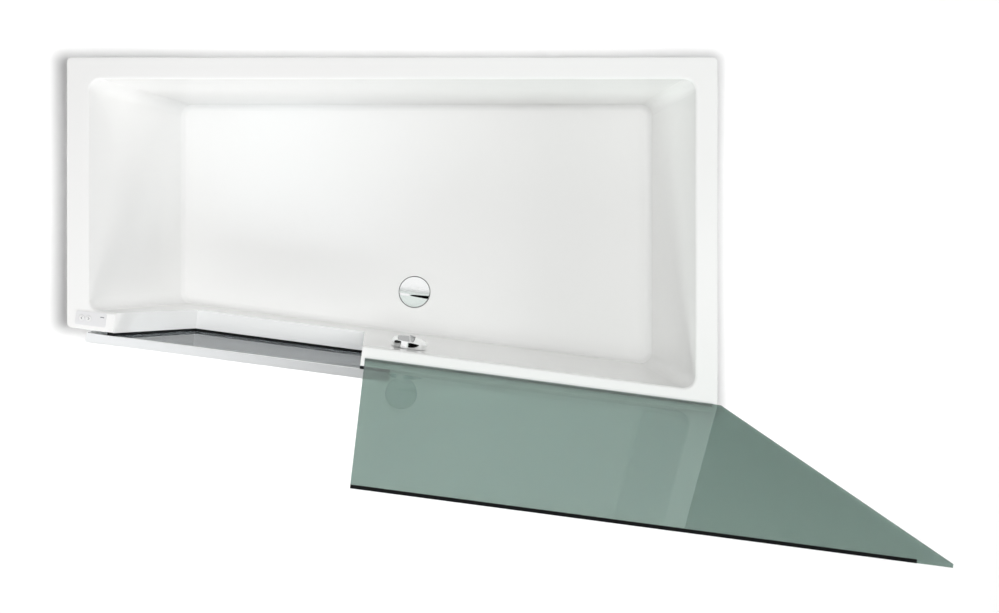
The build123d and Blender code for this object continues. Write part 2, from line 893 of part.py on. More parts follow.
# Lock: a bolt behind the seal plate that rises through the striker's eye
with BuildPart() as door_striker:
    add_front_block(
        (lock_along - striker_width / 2, lock_along + striker_width / 2),
        (leaf_inner, leaf_inner + striker_base),
        (striker_height - striker_base_height / 2, striker_height + striker_base_height / 2),
    )
    tongue_bottom = striker_height - striker_thickness / 2
    add_front_block(
        (lock_along - striker_width / 2, lock_along + striker_width / 2),
        (leaf_inner, striker_reach),
        (tongue_bottom, tongue_bottom + striker_thickness),
    )
    add_disc(
        front_plan(tongue_bottom),
        (lock_along, lock_bolt_depth),
        lock_bolt_radius + lock_eye_clearance,
        striker_thickness,
        Mode.SUBTRACT,
    )
write(door_striker, "door_striker")

bolt_top = tongue_bottom - lock_bolt_gap
bolt_bottom = bolt_top - lock_bolt_length
with BuildPart() as lock_case:
    case_bottom = striker_height - lock_case_below
    case_top = striker_height + lock_case_above
    add_front_block(
        (lock_along - lock_case_width / 2, lock_along + lock_case_width / 2),
        (shell_wall, shell_wall + lock_case_depth),
        (case_bottom, case_top),
    )
    add_front_block(
        (lock_along - slot_half, lock_along + slot_half),
        (shell_wall, striker_reach + striker_clearance),
        (striker_height - slot_rise, striker_height + slot_rise),
        Mode.SUBTRACT,
    )
    bore_bottom = bolt_bottom - lock_bore_clearance
    bore_top = bolt_top + lock_bolt_travel + lock_bolt_gap
    add_disc(
        front_plan(bore_bottom),
        (lock_along, lock_bolt_depth),
        lock_bolt_radius + lock_bore_clearance,
        bore_top - bore_bottom,
        Mode.SUBTRACT,
    )
write(lock_case, "lock_case")

with BuildPart() as lock_bolt:
    centre = (lock_along, lock_bolt_depth)
    add_disc(front_plan(bolt_bottom), centre, lock_bolt_radius, lock_bolt_length)
    chamfer(lock_bolt.edges().sort_by(Axis.Z)[-1], edge_fillet / 2)
write(lock_bolt, "lock_bolt")

# Control pad with two buttons and a lamp
button_places = [pad_centre_along - button_shift - button_spacing / 2]
button_places.append(button_places[0] + button_spacing)
pad_top = rim_height + pad_thickness
box_bottom = rim_height - pad_box_depth
button_foot = pad_top - pad_thickness - button_retainer - button_flange
board_z = button_foot - button_travel - board_seat - board_thickness
button_flange_radius = button_radius + button_skirt


def pad_block(length, width, inset, heights, mode=Mode.ADD):
    """Block centred on the control pad, drawn in by an inset"""
    half_length = length / 2 - inset
    half_width = width / 2 - inset
    add_front_block(
        (pad_centre_along - half_length, pad_centre_along + half_length),
        (pad_centre_inboard - half_width, pad_centre_inboard + half_width),
        heights,
        mode,
    )


with BuildPart() as control_pad:
    with BuildSketch(front_plan(rim_height)) as face:
        with Locations((pad_centre_along, pad_centre_inboard)):
            RectangleRounded(pad_length, pad_width, pad_corner_radius)
    extrude(face.sketch, amount=pad_thickness)
    pad_block(pad_box_length, pad_box_width, 0, (box_bottom, rim_height))
    pocket_top = rim_height - button_retainer
    pad_block(
        pad_box_length,
        pad_box_width,
        pad_box_wall,
        (box_bottom + pad_box_wall, pocket_top),
        Mode.SUBTRACT,
    )
    for along in button_places:
        add_disc(
            front_plan(pocket_top - overrun),
            (along, pad_centre_inboard),
            button_radius + button_clearance,
            pad_top - pocket_top + 2 * overrun,
            Mode.SUBTRACT,
        )
    lamp_half = lamp_length / 2
    lamp_along = pad_centre_along + lamp_shift
    lamp_inboard = pad_centre_inboard + lamp_offset
    lamp_half_width = lamp_width / 2
    add_front_block(
        (lamp_along - lamp_half, lamp_along + lamp_half),
        (lamp_inboard - lamp_half_width, lamp_inboard + lamp_half_width),
        (rim_height, pad_top + overrun),
        Mode.SUBTRACT,
    )
write(control_pad, "control_pad")

with BuildPart() as keypad_board:
    pad_block(
        pad_box_length, pad_box_width, pad_box_wall, (board_z, board_z + board_thickness)
    )
write(keypad_board, "keypad_board")

for along, name in zip(button_places, ("button_left", "button_right")):
    with BuildPart() as button:
        centre = (along, pad_centre_inboard)
        rise = pad_top + button_rise - button_foot
        add_disc(front_plan(button_foot), centre, button_radius, rise)
        fillet(button.edges().sort_by(Axis.Z)[-1], button_rise / 2)
        add_disc(front_plan(button_foot), centre, button_flange_radius, button_flange)
    write(button, name)

with BuildPart() as indicator_lamp:
    add_front_block(
        (lamp_along - lamp_half, lamp_along + lamp_half),
        (lamp_inboard - lamp_half_width, lamp_inboard + lamp_half_width),
        (rim_height, pad_top + lamp_rise),
    )
write(indicator_lamp, "indicator_lamp")

with BuildPart() as pad_lead:
    lead_place = (lock_along, pad_centre_inboard)
    add_disc(front_plan(case_top), lead_place, lead_radius, box_bottom - case_top)
write(pad_lead, "pad_lead")

# Glass screen in its channel in the rim
screen_faces = (screen_middle - screen_thickness / 2, screen_middle + screen_thickness / 2)
gasket_faces = (screen_faces[0] - gasket_wall, screen_faces[1] + gasket_wall)
channel_faces = (gasket_faces[0] - channel_wall, gasket_faces[1] + channel_wall)
glass_bottom = channel_bottom + channel_wall + gasket_wall
glass_top = rim_height + screen_height - trim_height
with BuildPart() as screen_glass:
    channel_glass_end = channel_end - channel_wall - gasket_wall
    corners = [
        (screen_start, glass_bottom),
        (channel_glass_end, glass_bottom),
        (channel_glass_end, rim_height + screen_notch_rise),
        (screen_end, rim_height + screen_notch_rise),
        (screen_end, glass_top),
        (screen_start, glass_top),
    ]
    add_prism(front_elevation(screen_faces[1]), corners, screen_thickness)
write(screen_glass, "screen_glass")

with BuildPart() as screen_channel:
    span = (screen_start - channel_wall, channel_end)
    add_front_block(span, channel_faces, (channel_bottom, rim_height))
    hollow_heights = (channel_bottom + channel_wall, rim_height)
    hollow_span = (screen_start, channel_end - channel_wall)
    add_front_block(hollow_span, gasket_faces, hollow_heights, Mode.SUBTRACT)
write(screen_channel, "screen_channel")

with BuildPart() as screen_gasket:
    add_front_block(hollow_span, gasket_faces, hollow_heights)
    glass_span = (screen_start, hollow_span[1] - gasket_wall)
    add_front_block(glass_span, screen_faces, (glass_bottom, rim_height), Mode.SUBTRACT)
write(screen_gasket, "screen_gasket")

with BuildPart() as screen_edge_trim:
    trim_end = screen_end - trim_end_gap
    add_front_block((screen_start, trim_end), screen_faces, (glass_top, glass_top + trim_height))
write(screen_edge_trim, "screen_edge_trim")

# Waste: cover on a stem, flange with a guide, body under the floor
cover_top = floor_height + waste_cover_rise
cover_bottom = cover_top - waste_cover_thickness
with BuildPart() as waste_cover:
    centre = (waste_along, waste_inboard)
    add_disc(front_plan(cover_bottom), centre, waste_cover_radius, waste_cover_thickness)
    # The strip towards the front of the tub falls away from a fold line
    fold = waste_inboard - waste_fold_offset
    rim_side_of_cover = waste_inboard - waste_cover_radius
    wedge = [
        (fold, cover_top),
        (rim_side_of_cover - overrun, cover_top),
        (rim_side_of_cover - overrun, cover_top - waste_cover_fold),
    ]
    wedge_plane = cross_elevation(waste_along - waste_cover_radius)
    add_prism(wedge_plane, wedge, 2 * waste_cover_radius, Mode.SUBTRACT)
write(waste_cover, "waste_cover")

with BuildPart() as plug_stem:
    add_disc(front_plan(cover_bottom - stem_length), centre, stem_radius, stem_length)
write(plug_stem, "plug_stem")

flange_top = seat_top + waste_flange_thickness
with BuildPart() as plug_seal:
    add_disc(front_plan(flange_top), centre, plug_ring_radius, cover_bottom - flange_top)
    add_disc(
        front_plan(flange_top),
        centre,
        plug_ring_radius - plug_ring_width,
        cover_bottom - flange_top,
        Mode.SUBTRACT,
    )
write(plug_seal, "plug_seal")

throat_bottom = seat_top - waste_throat_depth
throat_inner = waste_throat_radius - waste_throat_wall
with BuildPart() as waste_flange:
    add_turned(
        waste_section,
        waste_axis,
        [
            (throat_inner, throat_bottom),
            (waste_throat_radius, throat_bottom),
            (waste_throat_radius, seat_top),
            (waste_flange_radius, seat_top),
            (waste_flange_radius, flange_top),
            (throat_inner, flange_top),
        ],
    )
    add_disc(front_plan(throat_bottom), centre, waste_guide_radius, waste_guide_height)
    with BuildSketch(front_plan(throat_bottom)) as spokes:
        with Locations(centre):
            with PolarLocations(0, waste_spokes // 2, angular_range=180):
                Rectangle(2 * throat_inner + waste_throat_wall, waste_spoke_width)
    extrude(spokes.sketch, amount=waste_guide_height)
    add_disc(
        front_plan(throat_bottom),
        centre,
        stem_radius + stem_clearance,
        waste_guide_height,
        Mode.SUBTRACT,
    )
write(waste_flange, "waste_flange")

gasket_bottom = seat_bottom - gasket_thickness
with BuildPart() as waste_gasket:
    add_disc(front_plan(gasket_bottom), centre, body_flange_radius, gasket_thickness)
    add_disc(
        front_plan(gasket_bottom), centre, waste_hole_radius, gasket_thickness, Mode.SUBTRACT
    )
write(waste_gasket, "waste_gasket")

pipe_inner = overflow_pipe_radius - overflow_pipe_wall
body_inner = body_radius - body_wall
outlet_inner = outlet_radius - outlet_wall
front_port_face = waste_inboard - body_radius - port_length
back_port_face = waste_inboard + body_radius + port_length
with BuildPart() as waste_body:
    add_turned(
        waste_section,
        waste_axis,
        [
            (0, body_bottom),
            (body_radius, body_bottom),
            (body_radius, gasket_bottom - body_flange_thickness),
            (body_flange_radius, gasket_bottom - body_flange_thickness),
            (body_flange_radius, gasket_bottom),
            (0, gasket_bottom),
        ],
    )
    add_disc(
        front_elevation(waste_inboard),
        (overflow_along, overflow_pipe_height),
        overflow_pipe_radius,
        body_radius + port_length,
    )
    add_disc(
        front_elevation(waste_inboard),
        (waste_along, outlet_axis_height),
        outlet_radius,
        -body_radius - port_length,
    )
    cable_along = overflow_along + cable_offset
    cable_shift = cable_along - waste_along
    cable_face = waste_inboard - sqrt(body_radius**2 - cable_shift**2) - port_length
    add_disc(
        front_elevation(waste_inboard),
        (cable_along, cable_height),
        nipple_radius,
        waste_inboard - cable_face,
    )
    add_turned(
        waste_section,
        waste_axis,
        [
            (0, body_bottom + body_wall),
            (body_inner, body_bottom + body_wall),
            (body_inner, gasket_bottom - body_flange_thickness),
            (waste_hole_radius, gasket_bottom - body_flange_thickness),
            (waste_hole_radius, gasket_bottom),
            (0, gasket_bottom),
        ],
        Mode.SUBTRACT,
    )
    add_disc(
        front_elevation(waste_inboard),
        (overflow_along, overflow_pipe_height),
        pipe_inner,
        body_radius + port_length,
        Mode.SUBTRACT,
    )
    add_disc(
        front_elevation(waste_inboard),
        (waste_along, outlet_axis_height),
        outlet_inner,
        -body_radius - port_length,
        Mode.SUBTRACT,
    )
write(waste_body, "waste_body")

with BuildPart() as outlet_pipe:
    plane = front_elevation(back_port_face)
    place = (waste_along, outlet_axis_height)
    pipe_run = outlet_length - outlet_socket_length
    socket_plane = front_elevation(back_port_face + pipe_run)
    socket_radius = outlet_radius + outlet_socket_wall
    add_disc(plane, place, outlet_radius, -pipe_run)
    add_disc(socket_plane, place, socket_radius, -outlet_socket_length)
    add_disc(plane, place, outlet_inner, -pipe_run, Mode.SUBTRACT)
    socket_floor = front_elevation(back_port_face + pipe_run + outlet_shoulder)
    socket_depth = outlet_socket_length - outlet_shoulder
    add_disc(socket_plane, place, outlet_inner, -outlet_shoulder, Mode.SUBTRACT)
    add_disc(socket_floor, place, outlet_radius, -socket_depth, Mode.SUBTRACT)
write(outlet_pipe, "outlet_pipe")

# Overflow: housing behind the front wall, ring and rotary handle in the basin
housing_back = shell_wall + housing_gap
housing_face = wall_back - overflow_gasket
local_face = housing_face - rim_front
local_back = housing_back - rim_front
pipe_inboard = housing_face - overflow_pipe_clearance - overflow_pipe_radius
bearing_radius = spindle_radius + spindle_clearance
with BuildPart() as overflow_housing:
    add_turned(
        overflow_section,
        overflow_axis,
        [
            (0, local_back),
            (housing_radius, local_back),
            (housing_radius, local_face),
            (0, local_face),
        ],
    )
    place = (overflow_along, pipe_inboard)
    spigot_bottom = overflow_height - housing_radius - spigot_length
    add_disc(
        front_plan(spigot_bottom), place, overflow_pipe_radius, overflow_height - spigot_bottom
    )
    nipple_place = (cable_along, pipe_inboard)
    nipple_bottom = overflow_height - housing_radius - nipple_length + spigot_length
    add_disc(
        front_plan(nipple_bottom), nipple_place, nipple_radius, overflow_height - nipple_bottom
    )
    add_turned(
        overflow_section,
        overflow_axis,
        [
            (bearing_radius + housing_wall, local_back + housing_wall),
            (housing_radius - housing_wall, local_back + housing_wall),
            (housing_radius - housing_wall, local_face - housing_wall),
            (overflow_hole_radius, local_face - housing_wall),
            (overflow_hole_radius, local_face),
            (bearing_radius + housing_wall, local_face),
        ],
        Mode.SUBTRACT,
    )
    add_turned(
        overflow_section,
        overflow_axis,
        [
            (0, local_back + housing_wall),
            (bearing_radius, local_back + housing_wall),
            (bearing_radius, local_face),
            (0, local_face),
        ],
        Mode.SUBTRACT,
    )
    add_disc(
        front_plan(spigot_bottom),
        place,
        pipe_inner,
        overflow_height - housing_radius + spigot_length - spigot_bottom,
        Mode.SUBTRACT,
    )
write(overflow_housing, "overflow_housing")

with BuildPart() as overflow_seal:
    add_turned(
        overflow_section,
        overflow_axis,
        [
            (overflow_hole_radius, local_face),
            (housing_radius, local_face),
            (housing_radius, -shell_wall),
            (overflow_hole_radius, -shell_wall),
        ],
    )
write(overflow_seal, "overflow_seal")

with BuildPart() as overflow_ring:
    ring_outer = overflow_hole_radius - spindle_clearance
    ring_inner = ring_outer - overflow_ring_wall
    add_turned(
        overflow_section,
        overflow_axis,
        [
            (ring_inner, local_face - housing_wall),
            (ring_outer, local_face - housing_wall),
            (ring_outer, 0),
            (overflow_ring_radius, 0),
            (overflow_ring_radius, overflow_ring_flange),
            (ring_inner, overflow_ring_flange),
        ],
    )
write(overflow_ring, "overflow_ring")

with BuildPart() as overflow_knob:
    add_turned(
        overflow_section,
        overflow_axis,
        [
            (0, local_back + housing_wall + spindle_clearance),
            (spindle_radius, local_back + housing_wall + spindle_clearance),
            (spindle_radius, knob_edge - knob_wall),
            (knob_radius - knob_wall, knob_edge - knob_wall),
            (knob_radius - knob_wall, knob_gap),
            (knob_radius, knob_gap),
            (knob_radius, knob_edge),
            (0, knob_projection),
        ],
    )
write(overflow_knob, "overflow_knob")

with BuildPart() as overflow_pipe:
    bend_inboard = pipe_inboard + overflow_bend
    bend_height = overflow_pipe_height + overflow_bend
    with BuildLine(cross_elevation(overflow_along)) as spine:
        FilletPolyline(
            (pipe_inboard, spigot_bottom),
            (pipe_inboard, overflow_pipe_height),
            (front_port_face, overflow_pipe_height),
            radius=overflow_bend,
        )
    with BuildSketch(front_plan(spigot_bottom)) as ring:
        with Locations((overflow_along, pipe_inboard)):
            Circle(overflow_pipe_radius)
            Circle(pipe_inner, mode=Mode.SUBTRACT)
    sweep(ring.sketch, path=spine.line)
write(overflow_pipe, "overflow_pipe")

# Pull cable from the handle to the waste, held at both ends
with BuildPart() as pull_cable:
    with BuildLine(cross_elevation(cable_along)) as cable_line:
        FilletPolyline(
            (pipe_inboard, nipple_bottom),
            (pipe_inboard, cable_height),
            (cable_face, cable_height),
            radius=cable_bend,
        )
    with BuildSketch(front_plan(nipple_bottom)) as round_section:
        with Locations((cable_along, pipe_inboard)):
            Circle(cable_radius)
    sweep(round_section.sketch, path=cable_line.line)
write(pull_cable, "pull_cable")
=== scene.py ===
from math import atan2, pi, radians

import bpy
import numpy as np
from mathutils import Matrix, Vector


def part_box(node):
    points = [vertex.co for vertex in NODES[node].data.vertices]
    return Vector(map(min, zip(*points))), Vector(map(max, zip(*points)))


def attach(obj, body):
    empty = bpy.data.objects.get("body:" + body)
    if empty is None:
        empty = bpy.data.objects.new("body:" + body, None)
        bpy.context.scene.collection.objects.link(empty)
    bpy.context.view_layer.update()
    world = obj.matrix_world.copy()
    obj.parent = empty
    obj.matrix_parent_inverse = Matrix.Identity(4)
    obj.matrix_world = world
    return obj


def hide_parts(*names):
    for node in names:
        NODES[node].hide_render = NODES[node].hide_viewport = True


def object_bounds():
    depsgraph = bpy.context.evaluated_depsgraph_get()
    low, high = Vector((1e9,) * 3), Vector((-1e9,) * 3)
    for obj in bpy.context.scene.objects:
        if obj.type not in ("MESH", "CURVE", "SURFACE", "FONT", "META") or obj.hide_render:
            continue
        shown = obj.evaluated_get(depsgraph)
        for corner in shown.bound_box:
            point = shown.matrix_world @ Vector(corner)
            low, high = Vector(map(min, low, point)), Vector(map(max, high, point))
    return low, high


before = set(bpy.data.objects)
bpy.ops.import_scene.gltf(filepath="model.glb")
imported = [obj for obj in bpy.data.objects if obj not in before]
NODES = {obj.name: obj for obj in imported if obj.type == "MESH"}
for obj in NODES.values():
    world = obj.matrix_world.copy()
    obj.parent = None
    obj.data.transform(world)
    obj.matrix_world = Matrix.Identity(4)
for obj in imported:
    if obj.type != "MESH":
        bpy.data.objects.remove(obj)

bl_info = {
    "name": "Shower bath with door",
    "version": (1, 0, 0),
    "blender": (4, 5, 0),
    "location": "View3D > Sidebar > Shower bath",
    "description": "Finishes and fine pieces for a slanted bath with a door and a glass screen",
    "category": "Object",
}

MM = 0.001
# Share of a quarter turn at which a disc's first row of points lies
FIRST_ROW = 0.03
CAD_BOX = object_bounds()


def linear(colour):
    """Linear red, green, blue and alpha of an sRGB hex colour"""
    codes = np.array([int(colour[i : i + 2], 16) for i in (1, 3, 5)]) / 255
    low = codes / 12.92
    high = ((codes + 0.055) / 1.055) ** 2.4
    return (*np.where(codes <= 0.04045, low, high).tolist(), 1.0)


def add_node(tree, kind, values=None, links=None):
    """Adds a node, sets its inputs or its own properties, and links its inputs to other nodes' outputs"""
    node = tree.nodes.new(kind)
    for key, value in (values or {}).items():
        if isinstance(key, int) or key in node.inputs:
            node.inputs[key].default_value = value
        else:
            setattr(node, key, value)
    for key, source in (links or {}).items():
        tree.links.new(source, node.inputs[key])
    return node


def new_material(name):
    """A node material with nothing in it but its output and the object's own coordinates"""
    material = bpy.data.materials.new(name)
    material.use_nodes = True
    tree = material.node_tree
    tree.nodes.clear()
    output = tree.nodes.new("ShaderNodeOutputMaterial")
    place = tree.nodes.new("ShaderNodeTexCoord")
    return material, tree, output, place.outputs["Object"]


# Sizes in millimetres, as the part's source has them

TUB = {
    "left_x": -854.0,
    "front_left_y": -240.8565,
    "slant_sin": 0.131212,
    "slant_cos": 0.991354,
}
# The waste cover's crease lies off its middle; the leaves are level at the turning point, and the ramp
# between them is narrowest there
WASTE = {
    "u": 903.0,
    "v": 172.5,
    "radius": 45.0,
    "crease": -11.4,
    "turn": -12.0,
    "spread": 0.05,
    "least_half": 0.25,
    "rows": 28,
    "arris": 0.6,
    "lip_inner": 38.0,
    "lip_foot": 4.0,
    "lip_round": 0.3,
    # The lip reaches past the cover's rim, its dark rubber painted shade in the gap round the cover
    "lip_reach": 1.5,
    "lip_thickness": 1.0,
}
# The overflow handle stands on the inner wall, and its two half faces have their own height and slopes
KNOB = {
    "u": 895.7,
    "wall": 53.0,
    "z": 474.0,
    "radius": 48.0,
    "gap": 1.5,
    "arris": 2.0,
    "rows": 30,
    "crease_half": 0.4,
    "left_height": 22.3,
    "left_lean": 0.055,
    "left_bend": 0.025,
    "left_bend_from": 30.0,
    "right_height": 24.5,
    "right_lean": 0.083,
    "right_fall": 0.2,
    "spindle": 5.0,
    "spindle_back": -41.2,
    "spindle_overlap": 2.0,
}
PAD = {
    "v": 29.5,
    "button_top": 572.7,
    "buttons": (36.0, 54.0),
    "arrow_reach": 2.0,
    "arrow_rise": 3.3,
    "arrow_bend": 0.4,
    "arrow_sunk": 0.05,
    "arrow_proud": 0.08,
    "arrow_round": 0.03,
    "lamp": (89.0, 37.0),
    "lamp_half": (5.0, 1.25),
    "lamp_round": 0.6,
    "lamp_arris": 0.25,
}


def along_front(u, v, z):
    """Points in metres from millimetres along the slanted front, inboard of it and above the ground"""
    u, v, z = np.broadcast_arrays(np.asarray(u, float), np.asarray(v, float), np.asarray(z, float))
    x = TUB["left_x"] + u * TUB["slant_cos"] + v * TUB["slant_sin"]
    y = TUB["front_left_y"] - u * TUB["slant_sin"] + v * TUB["slant_cos"]
    return np.stack([x, y, z], axis=-1) * MM


# Mesh surfaces


def put_mesh(name, points, faces, sharp=35.0):
    """Object from points and faces. A closed shell whose volume comes out negative has its faces turned
    round"""
    points = np.asarray(points, float).reshape(-1, 3)
    corners = [f for block in faces for f in np.asarray(block).tolist()]
    total = 0.0
    for block in faces:
        block = np.asarray(block)
        for k in range(1, block.shape[1] - 1):
            a, b, c = points[block[:, 0]], points[block[:, k]], points[block[:, k + 1]]
            total += np.einsum("ij,ij->i", a, np.cross(b, c)).sum()
    if total < 0:
        corners = [f[::-1] for f in corners]
    mesh = bpy.data.meshes.new(name)
    mesh.from_pydata(points.tolist(), [], corners)
    mesh.update()
    mesh.shade_smooth()
    mesh.set_sharp_from_angle(angle=radians(sharp))
    piece = bpy.data.objects.new(name, mesh)
    bpy.context.scene.collection.objects.link(piece)
    return piece


def ring_skin(name, rings, first=None, last=None, around=False, sharp=35.0):
    """Closed skin over rings of points: each ring is joined to the next, and the ends close on a pole
    point. With around, the last ring joins the first, as on a torus"""
    rings = np.asarray(rings, float)
    rows, across = rings.shape[:2]
    grid = np.arange(rows * across).reshape(rows, across)
    ahead = np.roll(grid, -1, axis=1)
    low, low_ahead, high, high_ahead = grid[:-1], ahead[:-1], grid[1:], ahead[1:]
    if around:
        low, low_ahead = grid, ahead
        high, high_ahead = np.roll(grid, -1, axis=0), np.roll(ahead, -1, axis=0)
    faces = [np.stack([low, low_ahead, high_ahead, high], axis=-1).reshape(-1, 4)]
    points = [rings.reshape(-1, 3)]
    count = rows * across
    for pole, row, turn in ((first, 0, True), (last, rows - 1, False)):
        if pole is None:
            continue
        points.append(np.asarray(pole, float).reshape(1, 3))
        tip = np.full(across, count)
        pair = (ahead[row], grid[row]) if turn else (grid[row], ahead[row])
        faces.append(np.stack([*pair, tip], axis=-1))
        count += 1
    return put_mesh(name, np.concatenate(points), faces, sharp)


def softened(points, radii, steps=6, closed=False):
    """Outline with its corners rounded: each corner becomes a quadratic curve between the two points
    a radius away from it along its sides"""
    points = np.asarray(points, float)
    radii = np.broadcast_to(np.asarray(radii, float), len(points))[:, None]
    before = np.roll(points, 1, axis=0) - points
    after = np.roll(points, -1, axis=0) - points
    size = np.linalg.norm
    start = points + before / size(before, axis=1, keepdims=True) * radii
    stop = points + after / size(after, axis=1, keepdims=True) * radii
    t = np.linspace(0, 1, steps)[None, :, None]
    curve = (1 - t) ** 2 * start[:, None] + 2 * t * (1 - t) * points[:, None] + t**2 * stop[:, None]
    if closed:
        return curve.reshape(-1, points.shape[1])
    inner = curve[1:-1].reshape(-1, points.shape[1])
    return np.concatenate([points[:1], inner, points[-1:]])


def turned(name, profile, centre, axis, steps=96, sharp=35.0):
    """Skin turned about an axis: a profile of radius and height goes round in equal steps.
    The profile starts and ends on the axis"""
    axis = Vector(axis).normalized()
    side = axis.orthogonal().normalized()
    other = axis.cross(side)
    angle = np.arange(steps) / steps * 2 * pi
    round_trip = np.cos(angle)[:, None] * np.array(side) + np.sin(angle)[:, None] * np.array(other)
    profile = np.asarray(profile, float) * MM
    lifts = profile[:, 1][:, None] * np.array(axis)[None]
    rings = np.array(centre) + profile[:, 0][:, None, None] * round_trip[None] + lifts[:, None]
    first, last = np.array(centre) + lifts[0], np.array(centre) + lifts[-1]
    return ring_skin(name, rings[1:-1], first, last, sharp=sharp)


def plate(name, outline, low, high, arris, place, steps=3, sharp=35.0):
    """Flat plate with rounded edges: rings of the outline are drawn in by the arris and stepped over its
    thickness along a quarter circle at each edge. place turns two plan numbers and a height into points"""
    outline = np.asarray(outline, float)
    middle = outline.mean(axis=0)
    before = outline - np.roll(outline, 1, axis=0)
    after = np.roll(outline, -1, axis=0) - outline
    tangent = before / np.linalg.norm(before, axis=1, keepdims=True)
    tangent = tangent + after / np.linalg.norm(after, axis=1, keepdims=True)
    tangent /= np.linalg.norm(tangent, axis=1, keepdims=True)
    inward = np.stack([-tangent[:, 1], tangent[:, 0]], axis=1)
    inward *= np.sign(((middle - outline) * inward).sum(axis=1).mean())
    turn = np.linspace(0, pi / 2, steps + 1)
    lower = [(arris * (1 - np.sin(a)), low + arris * (1 - np.cos(a))) for a in turn]
    upper = [(arris * (1 - np.cos(a)), high - arris * (1 - np.sin(a))) for a in turn]
    rings = [place(*(outline + inward * draw).T, height) for draw, height in lower + upper]
    ends = [place(middle[0], middle[1], height) for height in (low, high)]
    return ring_skin(name, rings, ends[0], ends[1], sharp=sharp)


def uneven_disc(name, radius, rows, low, height, arris, place, across=61, sharp=30.0):
    """Disc with an uneven face: each row is a chord of the circle, and gives a closed ring, its upper side
    at the given height, brought down along a quarter circle within an arris of the rim, its lower side
    level. A point a third of an arris below each end keeps the wall's shading straight. height and place
    take the distance along the chord and the row's own distance from the centre"""
    s = np.sin(np.linspace(-pi / 2, pi / 2, across))
    q = np.asarray(rows(s), float)
    p = s * np.sqrt(radius**2 - q**2)
    short = np.clip(arris - (radius - np.hypot(p, q)), 0, arris)
    top = height(p, q) - (arris - np.sqrt(arris**2 - short**2))
    guard = arris / 3
    upper = place(p, q, top)
    lower = place(p[:, ::-1], q[:, ::-1], low)
    far_wall = place(p[:, -1:], q[:, -1:], top[:, -1:] - guard)
    near_wall = place(p[:, :1], q[:, :1], top[:, :1] - guard)
    rings = np.concatenate([upper, far_wall, lower, near_wall], axis=1)
    return ring_skin(name, rings, rings[0].mean(axis=0), rings[-1].mean(axis=0), sharp=sharp)


def carried(name, path, sides, ups, profile, around=False, sharp=35.0):
    """Profile carried along a path: at each point of the path the profile's two numbers go along the
    side and the up direction given there. The ends close on the profile's middle"""
    profile = np.asarray(profile, float) * MM
    rings = (
        np.asarray(path)[:, None]
        + profile[None, :, 0, None] * np.asarray(sides)[:, None]
        + profile[None, :, 1, None] * np.asarray(ups)[:, None]
    )
    if around:
        return ring_skin(name, rings, around=True, sharp=sharp)
    return ring_skin(name, rings, rings[0].mean(axis=0), rings[-1].mean(axis=0), sharp=sharp)


def dress(piece, material):
    """Gives a piece one material"""
    piece.data.materials.clear()
    piece.data.materials.append(material)


def paint(material, *names):
    """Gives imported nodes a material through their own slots"""
    for name in names:
        for slot in NODES[name].material_slots:
            slot.material = material


def finish_piece(piece, body, material, slot, *nodes):
    """Says what a new piece rides on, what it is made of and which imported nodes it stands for"""
    dress(piece, material)
    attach(piece, body)
    if nodes:
        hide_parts(*nodes)


# Materials


def moulded_acrylic(name, colour):
    """Sanitary acrylic sheet, vacuum formed: smooth white gloss that wavers a little where the sheet
    stretched, so that reflections soften and bend over some centimetres"""
    material, tree, output, place = new_material(name)
    wave = add_node(tree, "ShaderNodeTexNoise", {"Scale": 11.0, "Detail": 1.0}, {"Vector": place})
    fine = add_node(tree, "ShaderNodeTexNoise", {"Scale": 420.0, "Detail": 2.0}, {"Vector": place})
    gloss = add_node(
        tree, "ShaderNodeMapRange", {"To Min": 0.16, "To Max": 0.24}, {"Value": fine.outputs["Fac"]}
    )
    bump = add_node(
        tree,
        "ShaderNodeBump",
        {"Strength": 0.25, "Distance": 0.0012},
        {"Height": wave.outputs["Fac"]},
    )
    shader = add_node(
        tree,
        "ShaderNodeBsdfPrincipled",
        {"Base Color": linear(colour), "IOR": 1.49},
        {"Roughness": gloss.outputs["Result"], "Normal": bump.outputs["Normal"]},
    )
    tree.links.new(shader.outputs[0], output.inputs["Surface"])
    return material


def mirror_chrome(name, colour):
    """Chrome plate on polished brass: a clear dark and light mirror with the faintest haze from wiping"""
    material, tree, output, place = new_material(name)
    haze = add_node(tree, "ShaderNodeTexNoise", {"Scale": 90.0, "Detail": 3.0}, {"Vector": place})
    gloss = add_node(
        tree, "ShaderNodeMapRange", {"To Min": 0.03, "To Max": 0.08}, {"Value": haze.outputs["Fac"]}
    )
    shader = add_node(
        tree,
        "ShaderNodeBsdfPrincipled",
        {"Base Color": linear(colour), "Metallic": 1.0},
        {"Roughness": gloss.outputs["Result"]},
    )
    tree.links.new(shader.outputs[0], output.inputs["Surface"])
    return material


def satin_aluminium(name, colour, metal):
    """Aluminium profile, brushed and anodised: soft grey sheen with fine lines along its length. Less metal
    makes the anodic layer milkier"""
    material, tree, output, place = new_material(name)
    stretch = add_node(
        tree,
        "ShaderNodeMapping",
        {"Rotation": (0.0, 0.0, atan2(TUB["slant_sin"], TUB["slant_cos"])), "Scale": (4.0, 700.0, 700.0)},
        {"Vector": place},
    )
    lines = add_node(
        tree, "ShaderNodeTexNoise", {"Scale": 1.0, "Detail": 3.0}, {"Vector": stretch.outputs["Vector"]}
    )
    gloss = add_node(
        tree, "ShaderNodeMapRange", {"To Min": 0.28, "To Max": 0.38}, {"Value": lines.outputs["Fac"]}
    )
    bump = add_node(
        tree, "ShaderNodeBump", {"Strength": 0.1, "Distance": 0.0002}, {"Height": lines.outputs["Fac"]}
    )
    shader = add_node(
        tree,
        "ShaderNodeBsdfPrincipled",
        {"Base Color": linear(colour), "Metallic": metal},
        {"Roughness": gloss.outputs["Result"], "Normal": bump.outputs["Normal"]},
    )
    tree.links.new(shader.outputs[0], output.inputs["Surface"])
    return material


